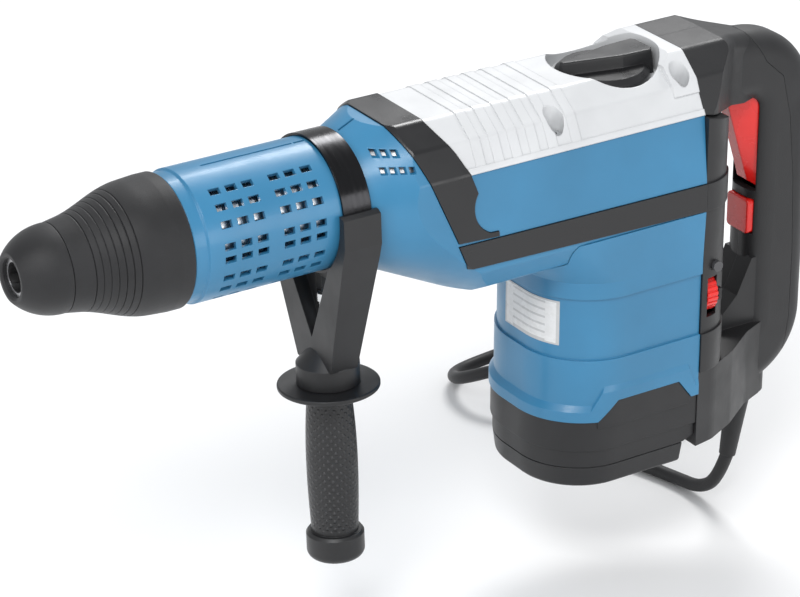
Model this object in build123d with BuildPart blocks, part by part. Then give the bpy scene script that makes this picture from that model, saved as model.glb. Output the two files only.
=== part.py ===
"""Mains powered rotary and demolition hammer, built as separate pieces.

Millimetres. The origin is the centre of the tool bore's mouth, +X runs along the tool
axis towards the rear handle, +Z is up and the operator's left side is -Y.
"""

import os
from math import cos, pi, radians, sin

from build123d import *

os.makedirs("parts", exist_ok=True)

# Fits and walls
WALL = 3.0  # plastic shell thickness
SEAM = 0.25  # gap at a joint between two shells
SEAT = 0.02  # radial gap of a seated ring or pressed gear
RUNNING = 0.05  # radial gap of a running fit
FREE = 0.4  # gap between pieces that pass each other

# Chuck
BORE_R = 9.0  # shank size of the tool
GUIDE_LENGTH = 41.0  # plain front length of the bore that guides the shank
BORE_LENGTH = 84.0
NOSE_X = -3.0
CAP_END = 24.0
SLEEVE_START = 24.6
SLEEVE_END = 94.5
SLEEVE_R = 40.8
SLEEVE_TRAVEL = 7.5
PIN_X = 46.0
PIN_R = 3.5
PIN_TRAVEL = 2.25

# Collar and side handle
COLLAR_START = 95.0
COLLAR_R = 40.5
COLLAR_END = 211.7
LIP_END = 103.0
LIP_R = 39.2
STRAP_X = 201.5
STRAP_WIDTH = 19.0
STRAP_T = 1.6
STRAP_R = COLLAR_R + 0.35
HANDLE_LEAN = 3.5  # degrees that the side handle leans to the near side
GUARD_H = -119.0
GUARD_R = 31.5
GRIP_R = 13.3
GRIP_END = -216.0
KNOB_R = 18.0
BOTTOM_H = -234.0

# Gear housing
CONE_X = 212.0
CONE_SLOPE = 0.47
COVER_END = 447.0
TOP_Z = 46.5
TOP_Y = 25.0
SHOULDER = (41.0, 35.0)
EAVE = (50.5, 17.0)
SIDE_Y = 55.5
STRIP_TOP = -26.0
STRIP_BOTTOM = -46.0
CHINE = (48.0, -60.0)
KEEL = (34.0, -67.5)
BAND_PROUD = 0.9

# Motor housing and base
MOTOR_NOSE = 343.0
MOTOR_Y = 55.0
MOTOR_CORNER = 46.0
STEP_Z = -89.0
RIDGE_Z = -131.0
MOTOR_BOTTOM = -173.0
TAB_Z = -160.0
BASE_INSET = 1.2
BASE_STEP_Z = -194.0
SKIRT_Z = -206.0
BASE_BOTTOM = -221.0

# Rear column and D handle
COLUMN_END = 478.0
COLUMN_CORNER = 30.0
COLUMN_BOTTOM = -158.0
GRIP_X = 541.0
GRIP_DEPTH = 46.0
GRIP_WIDTH = 35.0
HANDLE_BOTTOM = -211.0
GRIP_FRONT = GRIP_X - GRIP_DEPTH / 2

# Drive
GEAR_MODULE = 1.25
CRANK_TEETH = 50
MOTOR_TEETH = 8
LAY_TEETH = 40
BEVEL_TEETH = 12
RING_TEETH = 41
BEVEL_R = 10.0
MOTOR_X = 392.0
CRANK_X = MOTOR_X - GEAR_MODULE * (CRANK_TEETH + MOTOR_TEETH) / 2
LAY_X = CRANK_X - GEAR_MODULE * (CRANK_TEETH + LAY_TEETH) / 2
RING_R = BEVEL_R * RING_TEETH / BEVEL_TEETH
THROW = 15.0
ROD_LENGTH = 75.0
TUBE_R = 26.0
CYLINDER_R = 21.0
GEAR_Z = (-56.0, -46.0)
PLATE_Z = (-43.0, -35.0)
FLOOR_Z = (KEEL[1] + WALL + 1.5, -58.4)
BARREL_R = 35.0

# Cord
CORD_R = 4.5
FLOOR = -304.5
CORD_START = (519.0, 2.0, -262.0)
CORD_POINTS = [
    CORD_START,
    (516.5, 8.0, -284.0),
    (514.5, 24.0, -297.0),
    (513.0, 46.0, -300.0),
    (504.0, 78.0, -300.0),
    (490.0, 118.0, -300.0),
    (482.0, 160.0, -300.0),
]
COIL_CENTRE = (545.0, 170.0)
COIL_MID_R = 50.0
COIL_HALF = 18.0
COIL_HEIGHT = 27.0


def outline(points, plane=Plane.XZ):
    """Closed face through the given corners."""
    with BuildSketch(plane) as face:
        with BuildLine():
            Polyline(*points, close=True)
        make_face()
    return face.sketch


def mirrored(points):
    """Half outline from top to bottom, closed by its mirror image."""
    return points + [(-y, z) for y, z in reversed(points)]


def both_sides(points):
    """Half plan from front to back, closed by its mirror image across the tool axis."""
    return points + [(x, -y) for x, y in reversed(points)]


def housing_section(inset, x, lift=0.0):
    """Cross-section of the gear housing at x, drawn in from the outside by inset."""
    half = [
        (TOP_Y, TOP_Z + lift),
        (SHOULDER[0], SHOULDER[1] + lift * 0.6),
        EAVE,
        (SIDE_Y, STRIP_TOP),
        (SIDE_Y, STRIP_BOTTOM),
        CHINE,
        KEEL,
    ]
    with BuildSketch(Plane.YZ.offset(x)) as face:
        with BuildLine():
            Polyline(*mirrored(half), close=True)
        make_face()
        offset(amount=-inset, kind=Kind.INTERSECTION)
        fillet(face.vertices(), radius=max(6.0 - inset, 1.0))
    return face.sketch


def cone_outline(inset):
    """Half outline of the cone that trims the front of the gear housing."""
    front_r = COLLAR_R - inset
    rear_x = CONE_X + 90
    rear_r = front_r + CONE_SLOPE * 90
    return outline(
        [
            (CONE_X - 1, 0),
            (CONE_X - 1, front_r - CONE_SLOPE),
            (rear_x, rear_r),
            (COVER_END + 1, rear_r + 4),
            (COVER_END + 1, 0),
        ]
    )


def housing_block(inset, rear=COVER_END):
    """Solid of the gear housing without its rear block, drawn in by inset."""
    with BuildPart() as block:
        extrude(housing_section(inset, CONE_X), amount=rear - CONE_X)
        revolve(cone_outline(inset), axis=Axis.X, mode=Mode.INTERSECT)
    return block.part


def side_slab(face):
    """Block of a side view outline, across the whole width."""
    with BuildPart() as slab:
        extrude(face, amount=80, both=True)
    return slab.part


def motor_plan(inset, z, nose=MOTOR_NOSE, rear=COVER_END, corner=MOTOR_CORNER):
    """Plan of the motor housing at z: round nose, straight sides and a flat rear."""
    with BuildSketch(Plane.XY.offset(z)) as face:
        half_y = MOTOR_Y - inset
        with BuildLine():
            Polyline(
                (nose + inset, -half_y),
                (rear, -half_y),
                (rear, half_y),
                (nose + inset, half_y),
                close=True,
            )
        make_face()
        fillet(face.vertices().group_by(Axis.X)[0], radius=corner - inset)
    return face.sketch


def gear_outline(teeth, module, z, phase):
    """Face of a spur gear with straight sided teeth, one tooth centred at phase degrees."""
    pitch_r = module * teeth / 2
    pitch = 2 * pi / teeth
    corners = []
    for tooth in range(teeth):
        middle = radians(phase) + tooth * pitch
        for share, radius in (
            (-0.29, pitch_r - 1.25 * module),
            (-0.12, pitch_r + 0.85 * module),
            (0.12, pitch_r + 0.85 * module),
            (0.29, pitch_r - 1.25 * module),
        ):
            angle = middle + share * pitch
            corners.append((radius * cos(angle), radius * sin(angle)))
    return outline(corners, Plane.XY.offset(z))


def save(part, name):
    """Label a finished piece and write it."""
    part.label = name
    export_step(part, f"parts/{name}.step")


# ---------------------------------------------------------------- chuck

with BuildPart() as dust_cap:
    with BuildSketch(Plane.XZ):
        with BuildLine():
            Polyline((NOSE_X + 1, 11.7), (NOSE_X, 13.0), (NOSE_X, 15.0))
            Spline((NOSE_X, 15.0), (2.5, 20.0), (9.0, 23.7), (CAP_END, 26.6))
            Polyline((CAP_END, 26.6), (CAP_END, 17.0), (11.0, 14.2), (11.0, 11.7))
            Line((11.0, 11.7), (NOSE_X + 1, 11.7))
        make_face()
    revolve(axis=Axis.X)
save(dust_cap.part, "dust_cap")

with BuildPart() as tool_holder:
    revolve(
        outline(
            [
                (0.0, BORE_R),
                (GUIDE_LENGTH, BORE_R),
                (GUIDE_LENGTH + 0.3, BORE_R + 0.3),
                (BORE_LENGTH, BORE_R + 0.3),
                (BORE_LENGTH + 3, 14.1),
                (114.0, 14.1),
                (114.0, TUBE_R - 4),
                (98.0, TUBE_R - 4),
                (98.0, 24.0),
                (90.0, 24.0),
                (86.0, 17.0),
                (26.0, 17.0),
                (26.0, 14.0),
                (11.2, 14.0),
                (11.2, 11.5),
                (0.0, 11.5),
            ]
        ),
        axis=Axis.X,
    )
    with BuildSketch(Plane.XY):
        with Locations((PIN_X, 0)):
            Circle(PIN_R + RUNNING)
    extrude(amount=30, both=True, mode=Mode.SUBTRACT)
    rib_half = [(1.6, BORE_R - 1.8), (1.6, BORE_R + 0.6)]
    for turn in (30, 150, 270):
        rib = outline(mirrored(rib_half), Plane.YZ.offset(56))
        extrude(rib.rotate(Axis.X, turn), amount=22)
save(tool_holder.part, "tool_holder")

CAM_R = 20.0  # inside radius of the sleeve over the middle of the locking pins
CAM_SLOPE = PIN_TRAVEL / SLEEVE_TRAVEL
CAM_END = PIN_X + 5
SPRING_SEAT = 58.0
SKIRT_R = LIP_R + 0.35
GROOVE_START = 37.0
GROOVE_PITCH = 4.1
GROOVES = 7
with BuildPart() as locking_sleeve:
    with BuildSketch(Plane.XZ):
        with BuildLine():
            Polyline((28.0, 17.3), (SLEEVE_START, 17.3), (SLEEVE_START, 26.6), (34.0, 28.2))
            Spline((34.0, 28.2), (48.0, 32.3), (62.0, 37.4), (74.0, 39.9))
            Polyline(
                (74.0, 39.9),
                (86.0, SLEEVE_R),
                (SLEEVE_END - 1, SLEEVE_R),
                (SLEEVE_END, SLEEVE_R - 0.6),
                (SLEEVE_END, SKIRT_R),
                (78.0, SKIRT_R),
                (70.0, 36.0),
                (SPRING_SEAT, 31.0),
                (SPRING_SEAT, CAM_R + CAM_SLOPE * (PIN_X - CAM_END)),
                (CAM_END, CAM_R + CAM_SLOPE * (PIN_X - CAM_END)),
                (30.0, CAM_R + CAM_SLOPE * (PIN_X - 30.0)),
                (28.0, CAM_R + CAM_SLOPE * (PIN_X - 30.0)),
                (28.0, 17.3),
            )
        make_face()
    revolve(axis=Axis.X)
    for groove in range(GROOVES):
        groove_x = GROOVE_START + groove * GROOVE_PITCH
        groove_r = 27.9 + groove * 1.4
        revolve(
            outline(
                [
                    (groove_x, groove_r - 0.4),
                    (groove_x - 1.2, groove_r + 4),
                    (groove_x + 1.2, groove_r + 4),
                ]
            ),
            axis=Axis.X,
            mode=Mode.SUBTRACT,
        )
save(locking_sleeve.part, "locking_sleeve")

SPRING_R = 21.0
SPRING_WIRE = 1.0
SPRING_END = 85.0
with BuildPart() as sleeve_spring:
    with BuildLine() as coil_line:
        Helix(
            pitch=5.0,
            height=SPRING_END - SPRING_SEAT - 3 * SPRING_WIRE,
            radius=SPRING_R,
            center=(SPRING_SEAT + 1.5 * SPRING_WIRE, 0, 0),
            direction=(1, 0, 0),
        )
    with BuildSketch(Plane(origin=coil_line.line @ 0, z_dir=coil_line.line % 0)):
        Circle(SPRING_WIRE)
    sweep(is_frenet=True)
save(sleeve_spring.part, "sleeve_spring")

PIN_TIP = BORE_R - 1.8
PIN_TOP = CAM_R + CAM_SLOPE * -PIN_R - FREE
for name, side in (("locking_pin_upper", 1), ("locking_pin_lower", -1)):
    with BuildPart() as locking_pin:
        with BuildSketch(Plane.XY.offset(side * PIN_TIP)):
            with Locations((PIN_X, 0)):
                Circle(PIN_R)
        extrude(amount=side * (PIN_TOP - PIN_TIP))
        fillet(locking_pin.edges().filter_by(GeomType.CIRCLE), radius=0.6)
    save(locking_pin.part, name)

# ---------------------------------------------------------------- hammer mechanism

TUBE_END = 322.0
with BuildPart() as hammer_tube:
    revolve(
        outline(
            [
                (98.4, TUBE_R - 4 + SEAT),
                (98.4, TUBE_R),
                (TUBE_END, TUBE_R),
                (TUBE_END, CYLINDER_R),
                (114.2, CYLINDER_R),
                (114.2, TUBE_R - 4 + SEAT),
            ]
        ),
        axis=Axis.X,
    )
save(hammer_tube.part, "hammer_tube")

BEVEL_MODULE = 2 * BEVEL_R / BEVEL_TEETH
RING_PITCH = 2 * pi * RING_R / RING_TEETH
SMALL_END = 0.81  # size of the bevel teeth at their inner end
RIM = 1.04
ROOT = BEVEL_R + 1.2 * BEVEL_MODULE


def ring_tooth_face(scale):
    """Section of one tooth of the large bevel gear, at a share of its full radius."""
    root_x = LAY_X - scale * (BEVEL_R + 2.2 * BEVEL_MODULE)
    tip_x = LAY_X - scale * (BEVEL_R - 0.75 * BEVEL_MODULE)
    root_y = 0.27 * RING_PITCH * scale
    tip_y = 0.11 * RING_PITCH * scale
    corners = [(root_x, -root_y), (tip_x, -tip_y), (tip_x, tip_y), (root_x, root_y)]
    return outline(corners, Plane.XY.offset(-RING_R * scale))


with BuildPart() as ring_tooth:
    loft([ring_tooth_face(1.0), ring_tooth_face(SMALL_END + 0.03)])

with BuildPart() as bevel_ring_gear:
    revolve(
        outline(
            [
                (LAY_X - 24, TUBE_R + SEAT),
                (LAY_X - 24, 33.0),
                (LAY_X - 20, RING_R * RIM),
                (LAY_X - RIM * ROOT, RING_R * RIM),
                (LAY_X - SMALL_END * ROOT, RING_R * SMALL_END),
                (LAY_X - SMALL_END * ROOT, TUBE_R + SEAT),
            ]
        ),
        axis=Axis.X,
    )
    for tooth in range(RING_TEETH):
        add(ring_tooth.part.rotate(Axis.X, tooth * 360 / RING_TEETH))
save(bevel_ring_gear.part, "bevel_ring_gear")

BEARING_OUTER = 31.0
with BuildPart() as spindle_bearings:
    for start in (116.0, 204.0):
        revolve(
            outline(
                [
                    (start, TUBE_R + RUNNING),
                    (start, BEARING_OUTER - SEAT),
                    (start + 11, BEARING_OUTER - SEAT),
                    (start + 11, TUBE_R + RUNNING),
                ]
            ),
            axis=Axis.X,
        )
save(spindle_bearings.part, "spindle_bearings")

with BuildPart() as impact_bolt:
    revolve(
        outline(
            [
                (89.5, 0),
                (89.5, 7.5),
                (90.5, 8.5),
                (96.0, 8.5),
                (100.0, 14.1 - RUNNING),
                (121.0, 14.1 - RUNNING),
                (123.0, CYLINDER_R - RUNNING),
                (141.0, CYLINDER_R - RUNNING),
                (145.0, 14.0),
                (164.0, 14.0),
                (166.0, 12.0),
                (166.0, 0),
            ]
        ),
        axis=Axis.X,
    )
save(impact_bolt.part, "impact_bolt")

with BuildPart() as striker:
    revolve(
        outline(
            [
                (180.0, 0),
                (180.0, 14.0),
                (186.0, CYLINDER_R - RUNNING),
                (207.0, CYLINDER_R - RUNNING),
                (207.0, CYLINDER_R - 2.5),
                (211.0, CYLINDER_R - 2.5),
                (211.0, CYLINDER_R - RUNNING),
                (228.0, CYLINDER_R - RUNNING),
                (228.0, 0),
            ]
        ),
        axis=Axis.X,
    )
save(striker.part, "striker")

PIN_CENTRE = CRANK_X + THROW - ROD_LENGTH
WRIST_R = 5.0
PISTON_FRONT = PIN_CENTRE - 24
with BuildPart() as piston:
    revolve(
        outline(
            [
                (PISTON_FRONT, 0),
                (PISTON_FRONT, CYLINDER_R - RUNNING),
                (PISTON_FRONT + 42, CYLINDER_R - RUNNING),
                (PISTON_FRONT + 42, 15.5),
                (PISTON_FRONT + 10, 15.5),
                (PISTON_FRONT + 10, 0),
            ]
        ),
        axis=Axis.X,
    )
    with BuildSketch(Plane.XY):
        with Locations((PIN_CENTRE, 0)):
            Circle(WRIST_R + SEAT)
    extrude(amount=30, both=True, mode=Mode.SUBTRACT)
save(piston.part, "piston")

with BuildPart() as wrist_pin:
    with BuildSketch(Plane.XY):
        with Locations((PIN_CENTRE, 0)):
            Circle(WRIST_R)
    extrude(amount=18.5, both=True)
save(wrist_pin.part, "wrist_pin")

CRANK_PIN_R = 6.0
ROD_HALF = 5.0  # half thickness of the rod's eyes
with BuildPart() as connecting_rod:
    with BuildSketch(Plane.XY.offset(-ROD_HALF)):
        with Locations((PIN_CENTRE, 0)):
            Circle(9.5)
        with Locations((CRANK_X + THROW, 0)):
            Circle(11.0)
    extrude(amount=2 * ROD_HALF)
    with BuildSketch(Plane.XY.offset(-3.5)):
        with Locations(((PIN_CENTRE + CRANK_X + THROW) / 2, 0)):
            Rectangle(ROD_LENGTH - 14, 11)
    extrude(amount=7)
    with BuildSketch(Plane.XY):
        with Locations((PIN_CENTRE, 0)):
            Circle(WRIST_R + RUNNING)
        with Locations((CRANK_X + THROW, 0)):
            Circle(CRANK_PIN_R + RUNNING)
    extrude(amount=20, both=True, mode=Mode.SUBTRACT)
save(connecting_rod.part, "connecting_rod")

# ---------------------------------------------------------------- crank and gears

SHAFT_R = 8.0
STUB_R = 6.0
BEARING_R = 12.0
UPPER_BEARING_R = 16.0
DISC_TOP = -9.0
with BuildPart() as crankshaft:
    with Locations((CRANK_X, 0, 0)):
        with Locations((0, 0, FLOOR_Z[0] + 0.2)):
            Cylinder(STUB_R, FLOOR_Z[1] - FLOOR_Z[0] + 1, align=(Align.CENTER, Align.CENTER, Align.MIN))
        with Locations((0, 0, FLOOR_Z[1] + 0.8)):
            Cylinder(SHAFT_R, 38.0, align=(Align.CENTER, Align.CENTER, Align.MIN))
        with Locations((0, 0, DISC_TOP - 11)):
            Cylinder(23.0, 11.0, align=(Align.CENTER, Align.CENTER, Align.MIN))
    with Locations((CRANK_X + THROW, 0, DISC_TOP)):
        Cylinder(
            CRANK_PIN_R,
            -ROD_HALF - FREE - DISC_TOP,
            align=(Align.CENTER, Align.CENTER, Align.MIN),
        )
save(crankshaft.part, "crankshaft")

with BuildPart() as crank_gear:
    extrude(gear_outline(CRANK_TEETH, GEAR_MODULE, GEAR_Z[0], 0.0), amount=GEAR_Z[1] - GEAR_Z[0])
    Cylinder(SHAFT_R + SEAT, 300, mode=Mode.SUBTRACT)
save(crank_gear.part.moved(Location((CRANK_X, 0, 0))), "crank_gear")

with BuildPart() as bevel_spur_gear:
    extrude(
        gear_outline(LAY_TEETH, GEAR_MODULE, GEAR_Z[0], 180 / LAY_TEETH),
        amount=GEAR_Z[1] - GEAR_Z[0],
    )
    Cylinder(STUB_R + SEAT, 300, mode=Mode.SUBTRACT)
save(bevel_spur_gear.part.moved(Location((LAY_X, 0, 0))), "bevel_spur_gear")


def pinion_face(scale):
    """Face of the small bevel gear at a share of its full size, a gap towards -X."""
    corners = []
    pitch = 2 * pi / BEVEL_TEETH
    for tooth in range(BEVEL_TEETH):
        middle = pi + (tooth + 0.5) * pitch
        for share, radius in (
            (-0.27, BEVEL_R - 1.2 * BEVEL_MODULE),
            (-0.11, BEVEL_R + 0.75 * BEVEL_MODULE),
            (0.11, BEVEL_R + 0.75 * BEVEL_MODULE),
            (0.27, BEVEL_R - 1.2 * BEVEL_MODULE),
        ):
            angle = middle + share * pitch
            corners.append((scale * radius * cos(angle), scale * radius * sin(angle)))
    return outline(corners, Plane.XY.offset(-RING_R * scale))


with BuildPart() as bevel_pinion_shaft:
    loft([pinion_face(1.0), pinion_face(SMALL_END + 0.01)], ruled=True)
    with Locations((0, 0, FLOOR_Z[0] + 0.2)):
        Cylinder(STUB_R, -RING_R - FLOOR_Z[0], align=(Align.CENTER, Align.CENTER, Align.MIN))
save(bevel_pinion_shaft.part.moved(Location((LAY_X, 0, 0))), "bevel_pinion_shaft")


def bearing(x, z_range, inner, outer):
    """Ball bearing as one ring with grooved faces."""
    with BuildPart() as ring:
        with BuildSketch(Plane.XY.offset(z_range[0])):
            Circle(outer - SEAT)
            Circle(inner + SEAT, mode=Mode.SUBTRACT)
        extrude(amount=z_range[1] - z_range[0])
        with BuildSketch(Plane.XY.offset(z_range[1] - 0.5)):
            Circle(inner + (outer - inner) * 0.7)
            Circle(inner + (outer - inner) * 0.3, mode=Mode.SUBTRACT)
        extrude(amount=1, mode=Mode.SUBTRACT)
    return ring.part.moved(Location((x, 0, 0)))


with BuildPart() as gear_bearings:
    add(bearing(CRANK_X, FLOOR_Z, STUB_R, BEARING_R))
    add(bearing(CRANK_X, PLATE_Z, SHAFT_R, UPPER_BEARING_R))
    add(bearing(LAY_X, FLOOR_Z, STUB_R, BEARING_R))
    add(bearing(LAY_X, PLATE_Z, STUB_R, BEARING_R))
save(gear_bearings.part, "gear_bearings")

# ---------------------------------------------------------------- motor

ARMATURE_R = 5.0
CORE_R = 26.0
CORE_Z = (-150.0, -98.0)
COMMUTATOR_Z = (-176.0, -161.0)
LOWER_BEARING_Z = (-205.0, -198.0)
FAN_Z = (-87.0, -76.0)
FAN_R = 35.0
with BuildPart() as armature_shaft:
    extrude(gear_outline(MOTOR_TEETH, GEAR_MODULE, GEAR_Z[0], 22.5), amount=GEAR_Z[1] - GEAR_Z[0])
    with Locations((0, 0, FLOOR_Z[1])):
        Cylinder(3.3, GEAR_Z[0] - FLOOR_Z[1] + 0.5, align=(Align.CENTER, Align.CENTER, Align.MIN))
    with Locations((0, 0, LOWER_BEARING_Z[0])):
        Cylinder(
            ARMATURE_R,
            FLOOR_Z[1] - LOWER_BEARING_Z[0],
            align=(Align.CENTER, Align.CENTER, Align.MIN),
        )
save(armature_shaft.part.moved(Location((MOTOR_X, 0, 0))), "armature_shaft")

SLOTS = 12
with BuildPart() as armature_core:
    with BuildSketch(Plane.XY.offset(CORE_Z[0])):
        Circle(CORE_R)
        with PolarLocations(CORE_R - 3, SLOTS):
            Rectangle(6.4, 2.2, mode=Mode.SUBTRACT)
        Circle(ARMATURE_R + SEAT, mode=Mode.SUBTRACT)
    extrude(amount=CORE_Z[1] - CORE_Z[0])
    for start in (CORE_Z[0] - 9, CORE_Z[1]):
        with BuildSketch(Plane.XY.offset(start)):
            Circle(CORE_R - 5)
            Circle(ARMATURE_R + SEAT, mode=Mode.SUBTRACT)
        extrude(amount=9)
save(armature_core.part.moved(Location((MOTOR_X, 0, 0))), "armature_core")

with BuildPart() as commutator:
    with BuildSketch(Plane.XY.offset(COMMUTATOR_Z[0])):
        Circle(14.0)
        with PolarLocations(14.0, 24):
            Rectangle(2.0, 0.7, mode=Mode.SUBTRACT)
        Circle(ARMATURE_R + SEAT, mode=Mode.SUBTRACT)
    extrude(amount=COMMUTATOR_Z[1] - COMMUTATOR_Z[0])
save(commutator.part.moved(Location((MOTOR_X, 0, 0))), "commutator")

with BuildPart() as cooling_fan:
    with BuildSketch(Plane.XY.offset(FAN_Z[0])):
        Circle(FAN_R)
        Circle(ARMATURE_R + SEAT, mode=Mode.SUBTRACT)
    extrude(amount=2.0)
    with BuildSketch(Plane.XY.offset(FAN_Z[0] + 2)):
        Circle(10.0)
        Circle(ARMATURE_R + SEAT, mode=Mode.SUBTRACT)
        with PolarLocations(FAN_R - 11, 13):
            Rectangle(18.0, 1.8, rotation=28)
    extrude(amount=FAN_Z[1] - FAN_Z[0] - 2)
save(cooling_fan.part.moved(Location((MOTOR_X, 0, 0))), "cooling_fan")

with BuildPart() as armature_bearings:
    add(bearing(MOTOR_X, FLOOR_Z, ARMATURE_R, BEARING_R))
    add(bearing(MOTOR_X, LOWER_BEARING_Z, ARMATURE_R, BEARING_R))
save(armature_bearings.part, "armature_bearings")

SHELF_Z = (-95.0, -92.0)
STATOR_R = 42.0
with BuildPart() as stator:
    with BuildSketch(Plane.XY.offset(CORE_Z[0])):
        Circle(STATOR_R)
        Circle(34.0, mode=Mode.SUBTRACT)
    extrude(amount=SHELF_Z[0] - CORE_Z[0])
save(stator.part.moved(Location((MOTOR_X, 0, 0))), "stator")

with BuildPart() as field_coils:
    with BuildSketch(Plane.XY.offset(CORE_Z[0] - 5)):
        Circle(34.0 - SEAT)
        Circle(CORE_R + 1.2, mode=Mode.SUBTRACT)
        Rectangle(90, 18, mode=Mode.SUBTRACT)
    extrude(amount=SHELF_Z[0] - CORE_Z[0] + 4.5)
save(field_coils.part.moved(Location((MOTOR_X, 0, 0))), "field_coils")

BRUSH_SIZE = (8.0, 12.0, 6.0)
BRUSH_Z = -168.5
BRUSH_PLATE_Z = (-184.0, -181.0)
with BuildPart() as carbon_brushes:
    for side in (-1, 1):
        with Locations((MOTOR_X, side * (14.0 + FREE + BRUSH_SIZE[1] / 2), BRUSH_Z)):
            Box(*BRUSH_SIZE)
save(carbon_brushes.part, "carbon_brushes")

# ---------------------------------------------------------------- collar and barrel

VENT_COLUMNS = (117.2, 128.0, 138.9, 156.5, 167.1, 178.0)
VENT_ANGLES = (34.0, 48.7, 63.5, 82.0, 93.5, 111.5, 125.5, 144.0)
VENT_SIZE = (7.2, 4.3)
with BuildPart() as front_collar:
    revolve(
        outline(
            [
                (COLLAR_START, 24.8),
                (COLLAR_START, LIP_R - 0.5),
                (COLLAR_START + 0.5, LIP_R),
                (LIP_END, LIP_R),
                (LIP_END + 1, COLLAR_R),
                (COLLAR_END, COLLAR_R),
                (COLLAR_END, COLLAR_R - WALL),
                (COLLAR_START + WALL, COLLAR_R - WALL),
                (COLLAR_START + WALL, 24.8),
            ]
        ),
        axis=Axis.X,
    )
    for vent_angle in VENT_ANGLES:
        for side in (-1, 1):
            lean_angle = radians(side * vent_angle)
            face = Plane(
                origin=(0, 0, 0),
                x_dir=(1, 0, 0),
                z_dir=(0, sin(lean_angle), cos(lean_angle)),
            )
            with BuildSketch(face.offset(BARREL_R + 1)):
                with Locations(*[(x, 0) for x in VENT_COLUMNS]):
                    Rectangle(*VENT_SIZE)
            extrude(amount=8, mode=Mode.SUBTRACT)
    with BuildSketch(Plane.XY.offset(COLLAR_R - 1.2)):
        with Locations((151.5, 0)):
            Rectangle(61, 1.6)
    extrude(amount=3, mode=Mode.SUBTRACT)
    with BuildSketch(Plane.XY.offset(BARREL_R + 1)):
        with Locations((187.0, 0)):
            Rectangle(7.5, 1.8)
    extrude(amount=8, mode=Mode.SUBTRACT)
save(front_collar.part, "front_collar")

CASTING_START = 217.0
with BuildPart() as gearbox_barrel:
    revolve(
        outline(
            [
                (104.0, BEARING_OUTER),
                (104.0, BARREL_R),
                (CASTING_START, BARREL_R),
                (CASTING_START, BEARING_OUTER),
            ]
        ),
        axis=Axis.X,
    )
save(gearbox_barrel.part, "gearbox_barrel")

# ---------------------------------------------------------------- gear housing

CASTING_INSET = WALL + 1.5
CASTING_WALL = 4.0
CASTING_REAR = COVER_END - 1
KNOB_X = 405.0
RECESS_R = 35.0
RECESS_Z = 34.5
SCREW_POSTS = [(341.0, -39.5), (341.0, 39.5), (437.0, -36.0), (437.0, 36.0)]
POST_R = 6.4
low_top = outline([(326, 30.8), (326, 80), (450, 80), (450, 30.8)])
low_hollow = outline([(322, 26.8), (322, 80), (450, 80), (450, 26.8)])

with BuildPart() as gearbox_casting:
    add(housing_block(CASTING_INSET, CASTING_REAR))
    add(side_slab(low_top), mode=Mode.SUBTRACT)
    with BuildPart(mode=Mode.PRIVATE) as casting_hollow:
        add(housing_block(CASTING_INSET + CASTING_WALL, CASTING_REAR - CASTING_WALL))
        add(side_slab(low_hollow), mode=Mode.SUBTRACT)
        add(side_slab(outline([(200, -80), (200, 80), (221, 80), (221, -80)])), mode=Mode.SUBTRACT)
        floor_cut = [(200, -80), (200, FLOOR_Z[1]), (450, FLOOR_Z[1]), (450, -80)]
        add(side_slab(outline(floor_cut)), mode=Mode.SUBTRACT)
    add(casting_hollow.part, mode=Mode.SUBTRACT)
    add(side_slab(outline([(200, -80), (200, 80), (217, 80), (217, -80)])), mode=Mode.SUBTRACT)
    with BuildSketch(Plane.YZ.offset(210)):
        Circle(BEARING_OUTER)
    extrude(amount=20, mode=Mode.SUBTRACT)
    with Locations(*[(x, y, EAVE[1] - FREE) for x, y in SCREW_POSTS]):
        Cylinder(
            POST_R + 2.6,
            60,
            align=(Align.CENTER, Align.CENTER, Align.MIN),
            mode=Mode.SUBTRACT,
        )
        Cylinder(POST_R + 2, 13, align=(Align.CENTER, Align.CENTER, Align.MAX))
        Cylinder(
            2.5 + SEAT,
            11,
            align=(Align.CENTER, Align.CENTER, Align.MAX),
            mode=Mode.SUBTRACT,
        )
    add(housing_block(CASTING_INSET, CASTING_REAR), mode=Mode.INTERSECT)
    with Locations((KNOB_X, 0, RECESS_Z)):
        Cylinder(6.0 + FREE, 30, mode=Mode.SUBTRACT)
    with Locations(*[(x, 0, FLOOR_Z[0]) for x in (CRANK_X, LAY_X, MOTOR_X)]):
        Cylinder(BEARING_R, 12, mode=Mode.SUBTRACT)
save(gearbox_casting.part, "gearbox_casting")

with BuildPart() as bearing_plate:
    add(housing_block(CASTING_INSET + CASTING_WALL + SEAT, CASTING_REAR - CASTING_WALL))
    plate_side = [
        (LAY_X - 19, PLATE_Z[0]),
        (LAY_X - 19, PLATE_Z[1]),
        (CASTING_REAR - CASTING_WALL, PLATE_Z[1]),
        (CASTING_REAR - CASTING_WALL, PLATE_Z[0]),
    ]
    add(side_slab(outline(plate_side)), mode=Mode.INTERSECT)
    with Locations((CRANK_X, 0, PLATE_Z[0])):
        Cylinder(UPPER_BEARING_R, 40, mode=Mode.SUBTRACT)
    with Locations((LAY_X, 0, PLATE_Z[0])):
        Cylinder(BEARING_R, 40, mode=Mode.SUBTRACT)
    with Locations((LAY_X - 16, 0, PLATE_Z[1])):
        Box(14, 34, 8, mode=Mode.SUBTRACT)
save(bearing_plate.part, "bearing_plate")


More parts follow.
